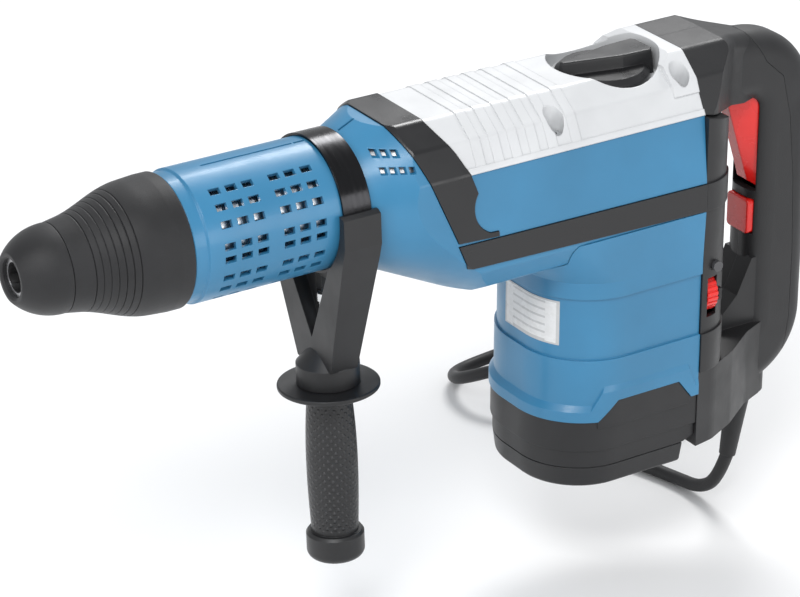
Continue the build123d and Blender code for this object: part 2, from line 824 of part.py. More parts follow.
def band_region(gap):
    """Side view of the black band: slanted edges and a concave hook at its rear foot."""
    with BuildSketch(Plane.XZ) as face:
        with BuildLine():
            Polyline(
                (292.0, -21.5),
                (292.0, -24.5),
                (263.5, -23.0),
                (243.0, 26.0),
                (233.5, TOP_Z),
                (233.5, 70.0),
                (257.0, 70.0),
                (257.0, TOP_Z),
                (268.0, 30.0),
                (274.5, 17.0),
                (278.8, 5.0),
            )
            ThreePointArc((278.8, 5.0), (276.5, -11.0), (286.0, -21.2))
            Line((286.0, -21.2), (292.0, -21.5))
        make_face()
        if gap:
            offset(amount=gap, kind=Kind.INTERSECTION)
    return face.sketch


def cover_region(gap):
    """Side view of the light top cover."""
    with BuildSketch(Plane.XZ) as face:
        with BuildLine():
            Polyline(
                (257.0, 90.0),
                (257.0, TOP_Z),
                (268.0, 30.0),
                (274.5, EAVE[1]),
                (COVER_END + 5, EAVE[1]),
                (COVER_END + 5, 90.0),
                close=True,
            )
        make_face()
        if gap:
            offset(amount=gap, kind=Kind.INTERSECTION)
    return face.sketch


def strip_region(gap):
    """Side view of the strips along both sides."""
    with BuildSketch(Plane.XZ) as face:
        with BuildLine():
            Polyline(
                (263.5, STRIP_TOP + 0.8),
                (COVER_END + 5, STRIP_TOP - 1.5),
                (COVER_END + 5, STRIP_BOTTOM),
                (270.5, STRIP_BOTTOM + 4.5),
                close=True,
            )
        make_face()
        if gap:
            offset(amount=gap, kind=Kind.INTERSECTION)
    return face.sketch


hull = housing_block(0)
hollow = housing_block(WALL)
proud = housing_block(-BAND_PROUD)

with BuildPart() as gear_shell:
    add(hull)
    add(hollow, mode=Mode.SUBTRACT)
    add(side_slab(band_region(SEAM)), mode=Mode.SUBTRACT)
    add(side_slab(cover_region(SEAM)), mode=Mode.SUBTRACT)
    add(side_slab(strip_region(SEAM)), mode=Mode.SUBTRACT)
    with BuildSketch(Plane.XZ):
        with Locations(*[(221.5 + 5.0 * step, 35.0) for step in range(3)]):
            Rectangle(3.6, 4.0)
        with Locations(*[(222.5 + 5.0 * step, 26.5) for step in range(4)]):
            Rectangle(3.6, 4.0)
    extrude(amount=60, both=True, mode=Mode.SUBTRACT)
    with Locations((219.5, 0, 44)):
        Box(11, 1.8, 14, mode=Mode.SUBTRACT)
    with Locations((MOTOR_X, 0, KEEL[1])):
        Box(74, 72, 12, mode=Mode.SUBTRACT)
save(gear_shell.part, "gear_shell")

with BuildPart() as front_band:
    add(proud)
    add(hollow, mode=Mode.SUBTRACT)
    add(side_slab(band_region(0)), mode=Mode.INTERSECT)
save(front_band.part, "front_band")

with BuildPart() as side_strips:
    add(proud)
    add(hollow, mode=Mode.SUBTRACT)
    add(side_slab(strip_region(0)), mode=Mode.INTERSECT)
save(side_strips.part, "side_strips")

HUMP_LIFT = 5.5
HUMP_X = 428.0
hump_side = [
    (HUMP_X, 30.0),
    (HUMP_X, TOP_Z),
    (HUMP_X + 9, TOP_Z + HUMP_LIFT),
    (COVER_END, TOP_Z + HUMP_LIFT),
    (COVER_END, 30.0),
]
RIBS = (283.0, 296.0, 309.0, 322.0, 335.0, 352.0)
with BuildPart() as top_cover:
    add(hull)
    with BuildPart(mode=Mode.PRIVATE) as hump:
        extrude(housing_section(0, HUMP_X, HUMP_LIFT), amount=COVER_END - HUMP_X)
        add(side_slab(outline(hump_side)), mode=Mode.INTERSECT)
    add(hump.part)
    add(hollow, mode=Mode.SUBTRACT)
    with BuildPart(mode=Mode.PRIVATE) as eave_lip:
        add(proud)
        add(hollow, mode=Mode.SUBTRACT)
        lip_side = [(274.0, 17.0), (272.5, 20.5), (COVER_END, 20.5), (COVER_END, 17.0)]
        add(side_slab(outline(lip_side)), mode=Mode.INTERSECT)
    add(eave_lip.part)
    with BuildPart(mode=Mode.PRIVATE) as ribs:
        add(housing_block(-0.6))
        add(hollow, mode=Mode.SUBTRACT)
        with BuildSketch(Plane.XZ):
            for rib_x in RIBS:
                with Locations((rib_x, 40)):
                    Rectangle(7.0, 40)
        extrude(amount=80, both=True, mode=Mode.INTERSECT)
    add(ribs.part)
    with BuildPart(mode=Mode.PRIVATE) as tub:
        with Locations((KNOB_X, 0, RECESS_Z - WALL)):
            Cylinder(RECESS_R + WALL, 20, align=(Align.CENTER, Align.CENTER, Align.MIN))
        for post_x, post_y in SCREW_POSTS:
            with Locations((post_x, post_y, EAVE[1])):
                Cylinder(POST_R + 2, 40, align=(Align.CENTER, Align.CENTER, Align.MIN))
        add(hull, mode=Mode.INTERSECT)
    add(tub.part)
    add(side_slab(cover_region(0)), mode=Mode.INTERSECT)
    with Locations((KNOB_X, 0, RECESS_Z)):
        Cylinder(RECESS_R, 40, align=(Align.CENTER, Align.CENTER, Align.MIN), mode=Mode.SUBTRACT)
    with Locations((KNOB_X, 0, 20)):
        Cylinder(6.0 + RUNNING, 40, mode=Mode.SUBTRACT)
    for post_x, post_y in SCREW_POSTS:
        with Locations((post_x, post_y, EAVE[1] + 4)):
            Cylinder(POST_R, 40, align=(Align.CENTER, Align.CENTER, Align.MIN), mode=Mode.SUBTRACT)
        with Locations((post_x, post_y, EAVE[1])):
            Cylinder(2.6, 20, mode=Mode.SUBTRACT)
    add(side_slab(band_region(SEAM)), mode=Mode.SUBTRACT)
save(top_cover.part, "top_cover")

with BuildPart() as cover_screws:
    for post_x, post_y in SCREW_POSTS:
        with Locations((post_x, post_y, EAVE[1] + 4)):
            Cylinder(5.0, 4.0, align=(Align.CENTER, Align.CENTER, Align.MIN))
            Cylinder(2.5, 12.0, align=(Align.CENTER, Align.CENTER, Align.MAX))
        with BuildSketch(Plane.XY.offset(EAVE[1] + 6)):
            with Locations((post_x, post_y)):
                RegularPolygon(2.6, 6)
        extrude(amount=4, mode=Mode.SUBTRACT)
save(cover_screws.part, "cover_screws")

SKIRT_TOP = 42.0
KNOB_TOP = 50.0
wedge_half = [(33.0, 9.0), (30.0, 13.0), (8.0, 12.0), (-32.5, 3.0)]
with BuildPart() as selector_knob:
    with BuildSketch(Plane.XY.offset(RECESS_Z + FREE)):
        Circle(29.5)
    extrude(amount=SKIRT_TOP - RECESS_Z - FREE)
    chamfer(selector_knob.edges().group_by(Axis.Z)[-1], length=3.5)
    with BuildSketch(Plane.XY.offset(RECESS_Z + FREE)):
        with BuildLine():
            Polyline(*both_sides(wedge_half), close=True)
        make_face()
    extrude(amount=KNOB_TOP - RECESS_Z - FREE, taper=7)
    fillet(selector_knob.edges().group_by(Axis.Z)[-1], radius=1.2)
save(selector_knob.part.moved(Location((KNOB_X, 0, 0))), "selector_knob")

with BuildPart() as selector_shaft:
    with Locations((KNOB_X, 0, RECESS_Z + FREE)):
        Cylinder(6.0, 16.0, align=(Align.CENTER, Align.CENTER, Align.MAX))
    with Locations((KNOB_X + 3, 0, RECESS_Z + FREE - 16)):
        Cylinder(2.4, 5.0, align=(Align.CENTER, Align.CENTER, Align.MAX))
save(selector_shaft.part, "selector_shaft")

# ---------------------------------------------------------------- motor housing

SHOULDER_FOOT = -78.0
SHOULDER_Z = STRIP_BOTTOM - SEAM
SHOULDER_NOSE = 322.0
ZONE_INSET = 1.5


def motor_solid(inset, rear):
    """Motor housing with its recessed middle zone and the shoulder under the gears."""
    with BuildPart() as block:
        extrude(motor_plan(inset, MOTOR_BOTTOM, rear=rear), amount=RIDGE_Z - MOTOR_BOTTOM)
        extrude(motor_plan(inset + ZONE_INSET, RIDGE_Z, rear=rear), amount=STEP_Z - RIDGE_Z)
        extrude(motor_plan(inset, STEP_Z, rear=rear), amount=SHOULDER_FOOT - STEP_Z)
        foot = motor_plan(inset, SHOULDER_FOOT, rear=rear)
        loft([foot, motor_plan(inset - 1.2, SHOULDER_Z, SHOULDER_NOSE, rear, 36.0)])
    return block.part


FRAME_HEIGHT = 11.0
FRAME_NOSE = MOTOR_NOSE - 2.7
FRAME_PROUD = 0.9
TAB_FOOT = (371.0, 441.0)
TAB_TOP = (384.0, 431.0)
tab_side = [
    (TAB_FOOT[0], MOTOR_BOTTOM),
    (TAB_TOP[0], TAB_Z),
    (TAB_TOP[1], TAB_Z),
    (TAB_FOOT[1], MOTOR_BOTTOM),
    (TAB_FOOT[1], MOTOR_BOTTOM - 5),
    (TAB_FOOT[0], MOTOR_BOTTOM - 5),
]


def frame_block(bottom, top):
    """Raised border of the motor housing, with a sloping upper ledge."""
    with BuildPart() as border:
        extrude(motor_plan(-FRAME_PROUD, bottom, nose=FRAME_NOSE), amount=top - bottom - 4)
        lower = motor_plan(-FRAME_PROUD, top - 4, nose=FRAME_NOSE)
        loft([lower, motor_plan(0, top)])
    return border.part


with BuildPart() as motor_housing:
    add(motor_solid(0, COVER_END))
    add(frame_block(MOTOR_BOTTOM, MOTOR_BOTTOM + FRAME_HEIGHT))
    with BuildPart(mode=Mode.PRIVATE) as arch:
        add(frame_block(MOTOR_BOTTOM, TAB_Z + FRAME_HEIGHT))
        arch_side = [
            (TAB_FOOT[0] - 9, MOTOR_BOTTOM),
            (TAB_TOP[0] - 9, TAB_Z + FRAME_HEIGHT),
            (TAB_TOP[1] + 7, TAB_Z + FRAME_HEIGHT),
            (TAB_FOOT[1] + 6, MOTOR_BOTTOM),
        ]
        add(side_slab(outline(arch_side)), mode=Mode.INTERSECT)
    add(arch.part)
    add(motor_solid(WALL, COVER_END - WALL), mode=Mode.SUBTRACT)
    add(housing_block(-SEAM), mode=Mode.SUBTRACT)
    with BuildSketch(Plane.XZ) as tab_gap:
        with BuildLine():
            Polyline(*tab_side, close=True)
        make_face()
        offset(amount=SEAM, kind=Kind.INTERSECTION)
    extrude(amount=80, both=True, mode=Mode.SUBTRACT)
    with Locations((COVER_END, 0, -110)):
        Box(12, 40, 30, mode=Mode.SUBTRACT)
    with BuildPart(mode=Mode.PRIVATE) as stator_seat:
        extrude(motor_plan(WALL, SHELF_Z[0], rear=COVER_END - WALL), amount=SHELF_Z[1] - SHELF_Z[0])
        with Locations((MOTOR_X, 0, CORE_Z[0])):
            Cylinder(
                STATOR_R + WALL,
                SHELF_Z[1] - CORE_Z[0],
                align=(Align.CENTER, Align.CENTER, Align.MIN),
            )
            Cylinder(
                STATOR_R + SEAT,
                SHELF_Z[0] - CORE_Z[0],
                align=(Align.CENTER, Align.CENTER, Align.MIN),
                mode=Mode.SUBTRACT,
            )
            Cylinder(FAN_R - 2, 200, mode=Mode.SUBTRACT)
    add(stator_seat.part)
save(motor_housing.part, "motor_housing")

LABEL_T = 0.4
with BuildPart() as rating_label:
    extrude(motor_plan(ZONE_INSET - LABEL_T, -122.0), amount=30)
    extrude(motor_plan(ZONE_INSET, -122.0), amount=30, mode=Mode.SUBTRACT)
    with Locations((MOTOR_NOSE, -11, -107)):
        Box(50, 47, 40, mode=Mode.INTERSECT)
save(rating_label.part, "rating_label")


def base_plan(inset, z, rear=COVER_END):
    """Plan of the base cap at z."""
    return motor_plan(inset, z, MOTOR_NOSE - 3.7, rear)


SKIRT_REAR = COVER_END - 9
BASE_STEP = BASE_INSET + 1.5
with BuildPart() as base_cap:
    extrude(base_plan(BASE_INSET, BASE_STEP_Z), amount=MOTOR_BOTTOM - BASE_STEP_Z)
    extrude(base_plan(BASE_STEP, SKIRT_Z + 3), amount=BASE_STEP_Z - SKIRT_Z - 3)
    skirt_top = base_plan(BASE_STEP, SKIRT_Z, SKIRT_REAR)
    loft([skirt_top, base_plan(BASE_STEP, SKIRT_Z + 3)])
    loft([base_plan(BASE_STEP + 2, BASE_BOTTOM, SKIRT_REAR - 1), skirt_top])
    fillet(base_cap.edges().group_by(Axis.Z)[0], radius=3.0)
    with BuildPart(mode=Mode.PRIVATE) as groove_ring:
        extrude(base_plan(BASE_INSET, SKIRT_Z - 0.8), amount=0.9)
        extrude(base_plan(BASE_STEP + 0.8, SKIRT_Z - 0.8), amount=0.9, mode=Mode.SUBTRACT)
    add(groove_ring.part, mode=Mode.SUBTRACT)
    with BuildPart(mode=Mode.PRIVATE) as tabs:
        extrude(motor_plan(0, MOTOR_BOTTOM - 5, nose=FRAME_NOSE), amount=TAB_Z - MOTOR_BOTTOM + 5)
        extrude(
            motor_plan(WALL + 0.8, MOTOR_BOTTOM - 5, nose=FRAME_NOSE),
            amount=TAB_Z - MOTOR_BOTTOM + 5,
            mode=Mode.SUBTRACT,
        )
        add(side_slab(outline(tab_side)), mode=Mode.INTERSECT)
    add(tabs.part)
    wall_in = BASE_STEP + WALL
    extrude(
        base_plan(wall_in, SKIRT_Z + 3, COVER_END - WALL),
        amount=MOTOR_BOTTOM - SKIRT_Z,
        mode=Mode.SUBTRACT,
    )
    extrude(
        base_plan(wall_in + 1, BASE_BOTTOM + 7, SKIRT_REAR - WALL - 1),
        amount=SKIRT_Z + 4 - BASE_BOTTOM - 7,
        mode=Mode.SUBTRACT,
    )
    with Locations((MOTOR_X, 0, BASE_BOTTOM + 6)):
        Cylinder(
            BEARING_R + 4,
            LOWER_BEARING_Z[1] - BASE_BOTTOM - 6,
            align=(Align.CENTER, Align.CENTER, Align.MIN),
        )
    for post_x in (MOTOR_X - 28, MOTOR_X + 28):
        for post_y in (-28, 28):
            with Locations((post_x, post_y, BASE_BOTTOM + 6)):
                Cylinder(
                    4.0,
                    BRUSH_PLATE_Z[0] - BASE_BOTTOM - 6,
                    align=(Align.CENTER, Align.CENTER, Align.MIN),
                )
    with Locations((MOTOR_X, 0, LOWER_BEARING_Z[0])):
        Cylinder(BEARING_R, 40, align=(Align.CENTER, Align.CENTER, Align.MIN), mode=Mode.SUBTRACT)
save(base_cap.part, "base_cap")

with BuildPart() as brush_holders:
    with Locations((MOTOR_X, 0, BRUSH_PLATE_Z[0])):
        Cylinder(
            STATOR_R + 1,
            BRUSH_PLATE_Z[1] - BRUSH_PLATE_Z[0],
            align=(Align.CENTER, Align.CENTER, Align.MIN),
        )
    box_top = BRUSH_Z + BRUSH_SIZE[2] / 2 + 2
    for side in (-1, 1):
        with Locations((MOTOR_X, side * 23.5, BRUSH_PLATE_Z[1])):
            Box(
                BRUSH_SIZE[0] + 4,
                14,
                box_top - BRUSH_PLATE_Z[1],
                align=(Align.CENTER, Align.CENTER, Align.MIN),
            )
        with Locations((MOTOR_X, side * 23.5, BRUSH_Z)):
            Box(
                BRUSH_SIZE[0] + 2 * SEAT,
                40,
                BRUSH_SIZE[2] + 2 * SEAT,
                mode=Mode.SUBTRACT,
            )
    with Locations((MOTOR_X, 0, BRUSH_PLATE_Z[0])):
        Cylinder(15.5, 60, mode=Mode.SUBTRACT)
save(brush_holders.part, "brush_holders")

# ---------------------------------------------------------------- rear column

COLUMN_START = COVER_END + SEAM


def column_plan(inset, z):
    """Plan of the rear column at z, with round rear corners."""
    with BuildSketch(Plane.XY.offset(z)) as face:
        half_y = MOTOR_Y - inset
        with BuildLine():
            Polyline(
                (COLUMN_START, -half_y),
                (COLUMN_END - inset, -half_y),
                (COLUMN_END - inset, half_y),
                (COLUMN_START, half_y),
                close=True,
            )
        make_face()
        fillet(face.vertices().group_by(Axis.X)[-1], radius=COLUMN_CORNER - inset)
    return face.sketch


column_side = [
    (COLUMN_START, COLUMN_BOTTOM),
    (COLUMN_START, EAVE[1] - 1),
    (462.0, EAVE[1] - 5),
    (470.0, 9.0),
    (474.0, -20.0),
    (COLUMN_END + 2, -50.0),
    (COLUMN_END + 2, COLUMN_BOTTOM),
]
DIAL_R = 13.5
DIAL_X = (452.0, 460.0)
DIAL_Y = 1.2 - MOTOR_Y + DIAL_R - 1.6
DIAL_Z = -107.0
AXLE_R = 2.2
LAMP_R = 3.5
LAMP_X = 458.0
LAMP_Z = -86.0
with BuildPart() as rear_cover:
    extrude(column_plan(0, COLUMN_BOTTOM), amount=EAVE[1] - COLUMN_BOTTOM)
    extrude(column_plan(-1.2, COLUMN_BOTTOM), amount=RIDGE_Z - COLUMN_BOTTOM)
    extrude(column_plan(-1.2, STRIP_BOTTOM), amount=STRIP_TOP - 1.5 - STRIP_BOTTOM)
    add(side_slab(outline(column_side)), mode=Mode.INTERSECT)
    with BuildPart(mode=Mode.PRIVATE) as column_hollow:
        extrude(column_plan(WALL, COLUMN_BOTTOM + WALL), amount=150)
        hollow_side = [
            (COLUMN_START, COLUMN_BOTTOM),
            (COLUMN_START, 11.0),
            (463.0, 8.0),
            (467.0, 6.0),
            (471.0, -20.0),
            (COLUMN_END, -50.0),
            (COLUMN_END, COLUMN_BOTTOM),
        ]
        add(side_slab(outline(hollow_side)), mode=Mode.INTERSECT)
    add(column_hollow.part, mode=Mode.SUBTRACT)
    with Locations(((DIAL_X[0] + DIAL_X[1]) / 2, -MOTOR_Y, DIAL_Z)):
        Box(
            DIAL_X[1] - DIAL_X[0] + 2 * FREE,
            16,
            2 * DIAL_R,
            mode=Mode.SUBTRACT,
        )
    with Locations(Location((LAMP_X, -MOTOR_Y, LAMP_Z), (90, 0, 0))):
        Cylinder(LAMP_R + SEAT, 10, mode=Mode.SUBTRACT)
    with Locations(*[(x, DIAL_Y - 4, DIAL_Z) for x in (DIAL_X[0] - 2.5, DIAL_X[1] + 2.5)]):
        Box(2.5, 16, 8)
    with Locations(Location(((DIAL_X[0] + DIAL_X[1]) / 2, DIAL_Y, DIAL_Z), (0, 90, 0))):
        Cylinder(AXLE_R + RUNNING, 20, mode=Mode.SUBTRACT)
    with Locations((COLUMN_START + 14, 0, COLUMN_BOTTOM)):
        Box(16, 30, 10, mode=Mode.SUBTRACT)
save(rear_cover.part, "rear_cover")

with BuildPart() as speed_dial:
    with BuildSketch(Plane.YZ.offset(DIAL_X[0])):
        with Locations((DIAL_Y, DIAL_Z)):
            Circle(DIAL_R)
            with PolarLocations(DIAL_R, 24):
                Rectangle(1.2, 1.2, mode=Mode.SUBTRACT)
    extrude(amount=DIAL_X[1] - DIAL_X[0])
    with Locations(Location(((DIAL_X[0] + DIAL_X[1]) / 2, DIAL_Y, DIAL_Z), (0, 90, 0))):
        Cylinder(AXLE_R, DIAL_X[1] - DIAL_X[0] + 8)
save(speed_dial.part, "speed_dial")

with BuildPart() as service_lamp:
    with Locations(Location((LAMP_X, 0.8 - MOTOR_Y, LAMP_Z), (90, 0, 0))):
        Cylinder(LAMP_R, 5)
save(service_lamp.part, "service_lamp")

# ---------------------------------------------------------------- rear handle

ROOT_START = COLUMN_START
SLEEVE_TOP = (526.0, 0.0, -204.0)
SLEEVE_TOP_R = 8.8
SLEEVE_TIP_R = 5.6
TRIGGER_HALF = 11.5
TRIGGER_PIVOT = (528.0, -60.0)
PIVOT_R = 2.4
BUTTON_Z = (-96.0, -72.0)
BUTTON_HALF = 11.0
SKIN = 2.5  # thickness of the soft grip
ROOT_BEND = 22.0  # plan rounding where the roots taper into the grip
TOP_ROUND = 9.0  # rounding of the upper root's long top edges


def drawn_in(points, inset, plane, bend=0.0):
    """Closed face through the corners, drawn in by inset, its middle corners rounded."""
    with BuildSketch(plane) as face:
        with BuildLine():
            Polyline(*points, close=True)
        make_face()
        if bend:
            fillet(face.vertices().group_by(Axis.X)[1:-1], radius=bend)
        if inset:
            offset(amount=-inset, kind=Kind.INTERSECTION)
    return face.sketch


root_plan = [
    (ROOT_START, 53.0),
    (458.0, 49.0),
    (490.0, 22.0),
    (515.0, 12.0),
]
foot_plan = [
    (ROOT_START, 54.5),
    (462.0, 52.0),
    (485.0, 41.0),
    (510.0, 24.0),
    (528.0, GRIP_WIDTH / 2 - 1),
]
top_side = [
    (ROOT_START, EAVE[1]),
    (462.0, EAVE[1] - 4),
    (488.0, 4.5),
    (505.0, 0.0),
    (515.0, 0.0),
    (515.0, 43.0),
    (ROOT_START, 60.0),
]
foot_side = [
    (ROOT_START, HANDLE_BOTTOM),
    (528.0, HANDLE_BOTTOM),
    (528.0, COLUMN_BOTTOM - SEAM),
    (ROOT_START, COLUMN_BOTTOM - SEAM),
]


def handle_solid(inset):
    """D handle with its spread upper and lower roots, drawn in by inset."""
    with BuildPart() as body:
        with BuildLine(Plane.XZ) as route:
            FilletPolyline(
                (COLUMN_END, 24.6),
                (GRIP_X, 18.0),
                (GRIP_X, HANDLE_BOTTOM + GRIP_DEPTH / 2 + 6),
                (470.0, HANDLE_BOTTOM + GRIP_DEPTH / 2 + 1),
                radius=29,
            )
        with BuildSketch(Plane(origin=route.line @ 0, x_dir=(0, 1, 0), z_dir=route.line % 0)):
            RectangleRounded(GRIP_WIDTH - 2 * inset, GRIP_DEPTH - 2 * inset, 14 - inset)
        sweep()
        with BuildPart(mode=Mode.PRIVATE) as top_root:
            plan = drawn_in(both_sides(root_plan), inset, Plane.XY, ROOT_BEND)
            extrude(plan, amount=90, both=True)
            add(side_slab(drawn_in(top_side, inset, Plane.XZ)), mode=Mode.INTERSECT)
            slope = top_root.faces().sort_by(Axis.Z)[-1]
            fillet(slope.edges().filter_by(Axis.Y, reverse=True), TOP_ROUND - inset)
            extrude(
                housing_section(inset, ROOT_START, HUMP_LIFT),
                amount=70,
                mode=Mode.INTERSECT,
            )
        add(top_root.part)
        with BuildPart(mode=Mode.PRIVATE) as foot_root:
            plan = drawn_in(both_sides(foot_plan), inset, Plane.XY, ROOT_BEND)
            extrude(plan, amount=250, both=True)
            add(side_slab(drawn_in(foot_side, inset, Plane.XZ)), mode=Mode.INTERSECT)
        add(foot_root.part)
    return body.part


gusset_side = [
    (519.0, -112.0),
    (524.0, -112.0),
    (526.0, -168.0),
    (COLUMN_END + 2, -168.0),
    (COLUMN_END + 2, COLUMN_BOTTOM + 1),
    (492.0, -152.0),
    (508.0, -136.0),
]
parting_side = [
    (505.7, 80.0),
    (505.7, 50.0),
    (520.8, 25.0),
    (534.7, 12.7),
    (541.7, -16.0),
    (546.6, -60.5),
    (549.0, -110.0),
    (549.0, -160.0),
    (546.0, -184.0),
    (600.0, -184.0),
    (600.0, 80.0),
]
sleeve_plane = Plane(origin=SLEEVE_TOP, z_dir=Vector(*CORD_START) - Vector(*SLEEVE_TOP))
sleeve_length = (Vector(*CORD_START) - Vector(*SLEEVE_TOP)).length


def sleeve_solid(gap):
    """Tapered cord sleeve with the flange that holds it in the handle, grown by gap."""
    with BuildPart() as cone:
        with BuildSketch(sleeve_plane) as wide:
            Circle(SLEEVE_TOP_R + gap)
        with BuildSketch(sleeve_plane.offset(sleeve_length)) as narrow:
            Circle(SLEEVE_TIP_R + gap)
        loft()
        with BuildSketch(sleeve_plane):
            Circle(SLEEVE_TOP_R + 2.2 + gap)
        extrude(amount=3)
    return cone.part


outer_handle = handle_solid(0)
skin_core = handle_solid(SKIN)
with BuildPart() as handle_shell:
    add(outer_handle)
    with BuildPart(mode=Mode.PRIVATE) as gusset:
        add(side_slab(outline(gusset_side)))
        with Locations((500, 0, -140)):
            Box(100, 28, 90, mode=Mode.INTERSECT)
    add(gusset.part)
    with Locations((SLEEVE_TOP[0] + 1, 0, HANDLE_BOTTOM - 2)):
        Cylinder(13.5, 26, align=(Align.CENTER, Align.CENTER, Align.MIN))
    add(handle_solid(SKIN + WALL), mode=Mode.SUBTRACT)
    with BuildPart(mode=Mode.PRIVATE) as skin_room:
        add(side_slab(outline(parting_side)))
        add(skin_core, mode=Mode.SUBTRACT)
    add(skin_room.part, mode=Mode.SUBTRACT)
    add(sleeve_solid(SEAT), mode=Mode.SUBTRACT)
    with Locations((GRIP_FRONT - 3, 0, TRIGGER_PIVOT[1] + 32.5)):
        Box(36, 2 * (TRIGGER_HALF + FREE), 77, mode=Mode.SUBTRACT)
    with Locations((GRIP_FRONT, 0, (BUTTON_Z[0] + BUTTON_Z[1]) / 2)):
        Box(
            22,
            2 * (BUTTON_HALF + FREE),
            BUTTON_Z[1] - BUTTON_Z[0] + 2 * FREE,
            mode=Mode.SUBTRACT,
        )
    with Locations(Location((TRIGGER_PIVOT[0], 0, TRIGGER_PIVOT[1]), (90, 0, 0))):
        Cylinder(PIVOT_R + RUNNING, 2 * TRIGGER_HALF + 6, mode=Mode.SUBTRACT)
    with Locations((ROOT_START, 0, 24)):
        Box(20, 30, 14, mode=Mode.SUBTRACT)
    with Locations((COLUMN_START + 14, 0, COLUMN_BOTTOM - SEAM)):
        Box(16, 30, 14, mode=Mode.SUBTRACT)

for name, side in (("handle_left", -1), ("handle_right", 1)):
    with BuildPart() as handle_half:
        add(handle_shell.part)
        with Locations((500, side * 100, -80)):
            Box(400, 200, 500, mode=Mode.INTERSECT)
    save(handle_half.part, name)

with BuildPart() as handle_soft_grip:
    add(outer_handle)
    with BuildSketch(Plane.XZ) as grip_region:
        with BuildLine():
            Polyline(*parting_side, close=True)
        make_face()
        offset(amount=-SEAM, kind=Kind.INTERSECTION)
    extrude(amount=80, both=True, mode=Mode.INTERSECT)
    add(skin_core, mode=Mode.SUBTRACT)
save(handle_soft_grip.part, "handle_soft_grip")

# ---------------------------------------------------------------- trigger and switch

with BuildPart() as trigger:
    front = [
        (500.0, -4.8, -1.0),
        (500.0, 4.8, -1.0),
        (519.0, 4.8, -60.0),
        (519.0, -4.8, -60.0),
    ]
    back = [
        (523.0, -TRIGGER_HALF, 6.5),
        (523.0, TRIGGER_HALF, 6.5),
        (523.0, TRIGGER_HALF, -63.0),
        (523.0, -TRIGGER_HALF, -63.0),
    ]
    wedge = Solid.make_loft([Wire.make_polygon(front), Wire.make_polygon(back)], ruled=True)
    add(wedge)
    back_side = [(523.0, 6.5), (531.0, 6.5), (532.5, -60.0), (523.0, -63.0)]
    extrude(outline(back_side), amount=TRIGGER_HALF, both=True)
    with Locations(Location((TRIGGER_PIVOT[0], 0, TRIGGER_PIVOT[1]), (90, 0, 0))):
        Cylinder(4.5, 2 * TRIGGER_HALF)
        Cylinder(PIVOT_R, 2 * TRIGGER_HALF + 4)
save(trigger.part, "trigger")

with BuildPart() as lock_button:
    with BuildSketch(Plane.YZ.offset(GRIP_FRONT - 2)):
        with Locations((0, (BUTTON_Z[0] + BUTTON_Z[1]) / 2)):
            RectangleRounded(2 * BUTTON_HALF, BUTTON_Z[1] - BUTTON_Z[0], 3)
    extrude(amount=9)
    fillet(lock_button.edges().group_by(Axis.X)[0], radius=1.2)
    with Locations((GRIP_FRONT + SKIN + WALL + 1.6, 0, (BUTTON_Z[0] + BUTTON_Z[1]) / 2)):
        Box(2, BUTTON_HALF, BUTTON_Z[1] - BUTTON_Z[0] + 4)
save(lock_button.part, "lock_button")

CAVITY_HALF = GRIP_WIDTH / 2 - SKIN - WALL
with BuildPart() as switch_module:
    with Locations((548.0, 0, -48)):
        Box(14.0, 19, 66)
    with Locations((545.0, 0, -48)):
        Box(8.0, 2 * (CAVITY_HALF - SEAT), 20)
save(switch_module.part, "switch_module")

# ---------------------------------------------------------------- cord

save(sleeve_solid(0), "cord_sleeve")

corner_radii = []
for before, corner, after in zip(CORD_POINTS, CORD_POINTS[1:], CORD_POINTS[2:]):
    run_in = Vector(*corner) - Vector(*before)
    run_out = Vector(*after) - Vector(*corner)
    half_turn = radians(run_in.get_angle(run_out) / 2)
    shorter = min(run_in.length, run_out.length)
    corner_radii.append(0.45 * shorter * cos(half_turn) / sin(half_turn))
print("cord arc radii", [round(r, 1) for r in corner_radii])

with BuildPart() as cord_tube:
    with BuildLine() as cord_line:
        FilletPolyline(*CORD_POINTS, radius=corner_radii)
    with BuildSketch(Plane(origin=cord_line.line @ 0, z_dir=cord_line.line % 0)):
        Circle(CORD_R)
    sweep()
cord_length = cord_line.wires()[0].length
section_volume = pi * CORD_R**2 * cord_length
print("cord tube", round(cord_tube.part.volume), "section x length", round(section_volume))
print("cord length without coil", round(cord_length))
save(cord_tube.part, "cord_tube")

with BuildPart() as cord_coil:
    with BuildSketch(Plane.XY.offset(FLOOR)):
        with Locations(COIL_CENTRE):
            Circle(COIL_MID_R + COIL_HALF)
            Circle(COIL_MID_R - COIL_HALF, mode=Mode.SUBTRACT)
    extrude(amount=COIL_HEIGHT)
save(cord_coil.part, "cord_coil")

PLUG_TAIL = (548.0, 252.0)
PLUG_R = 19.0
PLUG_LENGTH = 44.0
PIN_LENGTH = 19.0
plug_face_x = PLUG_TAIL[0] + PLUG_LENGTH
with BuildPart() as plug:
    with BuildSketch(Plane.YZ.offset(PLUG_TAIL[0])) as plug_tail:
        with Locations((PLUG_TAIL[1], FLOOR + PLUG_R)):
            Circle(6.0)
    with BuildSketch(Plane.YZ.offset(plug_face_x - 14)) as plug_shoulder:
        with Locations((PLUG_TAIL[1], FLOOR + PLUG_R)):
            Circle(PLUG_R)
    loft()
    extrude(plug_shoulder.sketch, amount=14)
    with BuildSketch(Plane.YZ.offset(plug_face_x)):
        with Locations((PLUG_TAIL[1], FLOOR + PLUG_R)):
            with GridLocations(19, 1, 2, 1):
                Circle(2.4)
    extrude(amount=PIN_LENGTH)
save(plug.part, "plug")

# ---------------------------------------------------------------- side handle

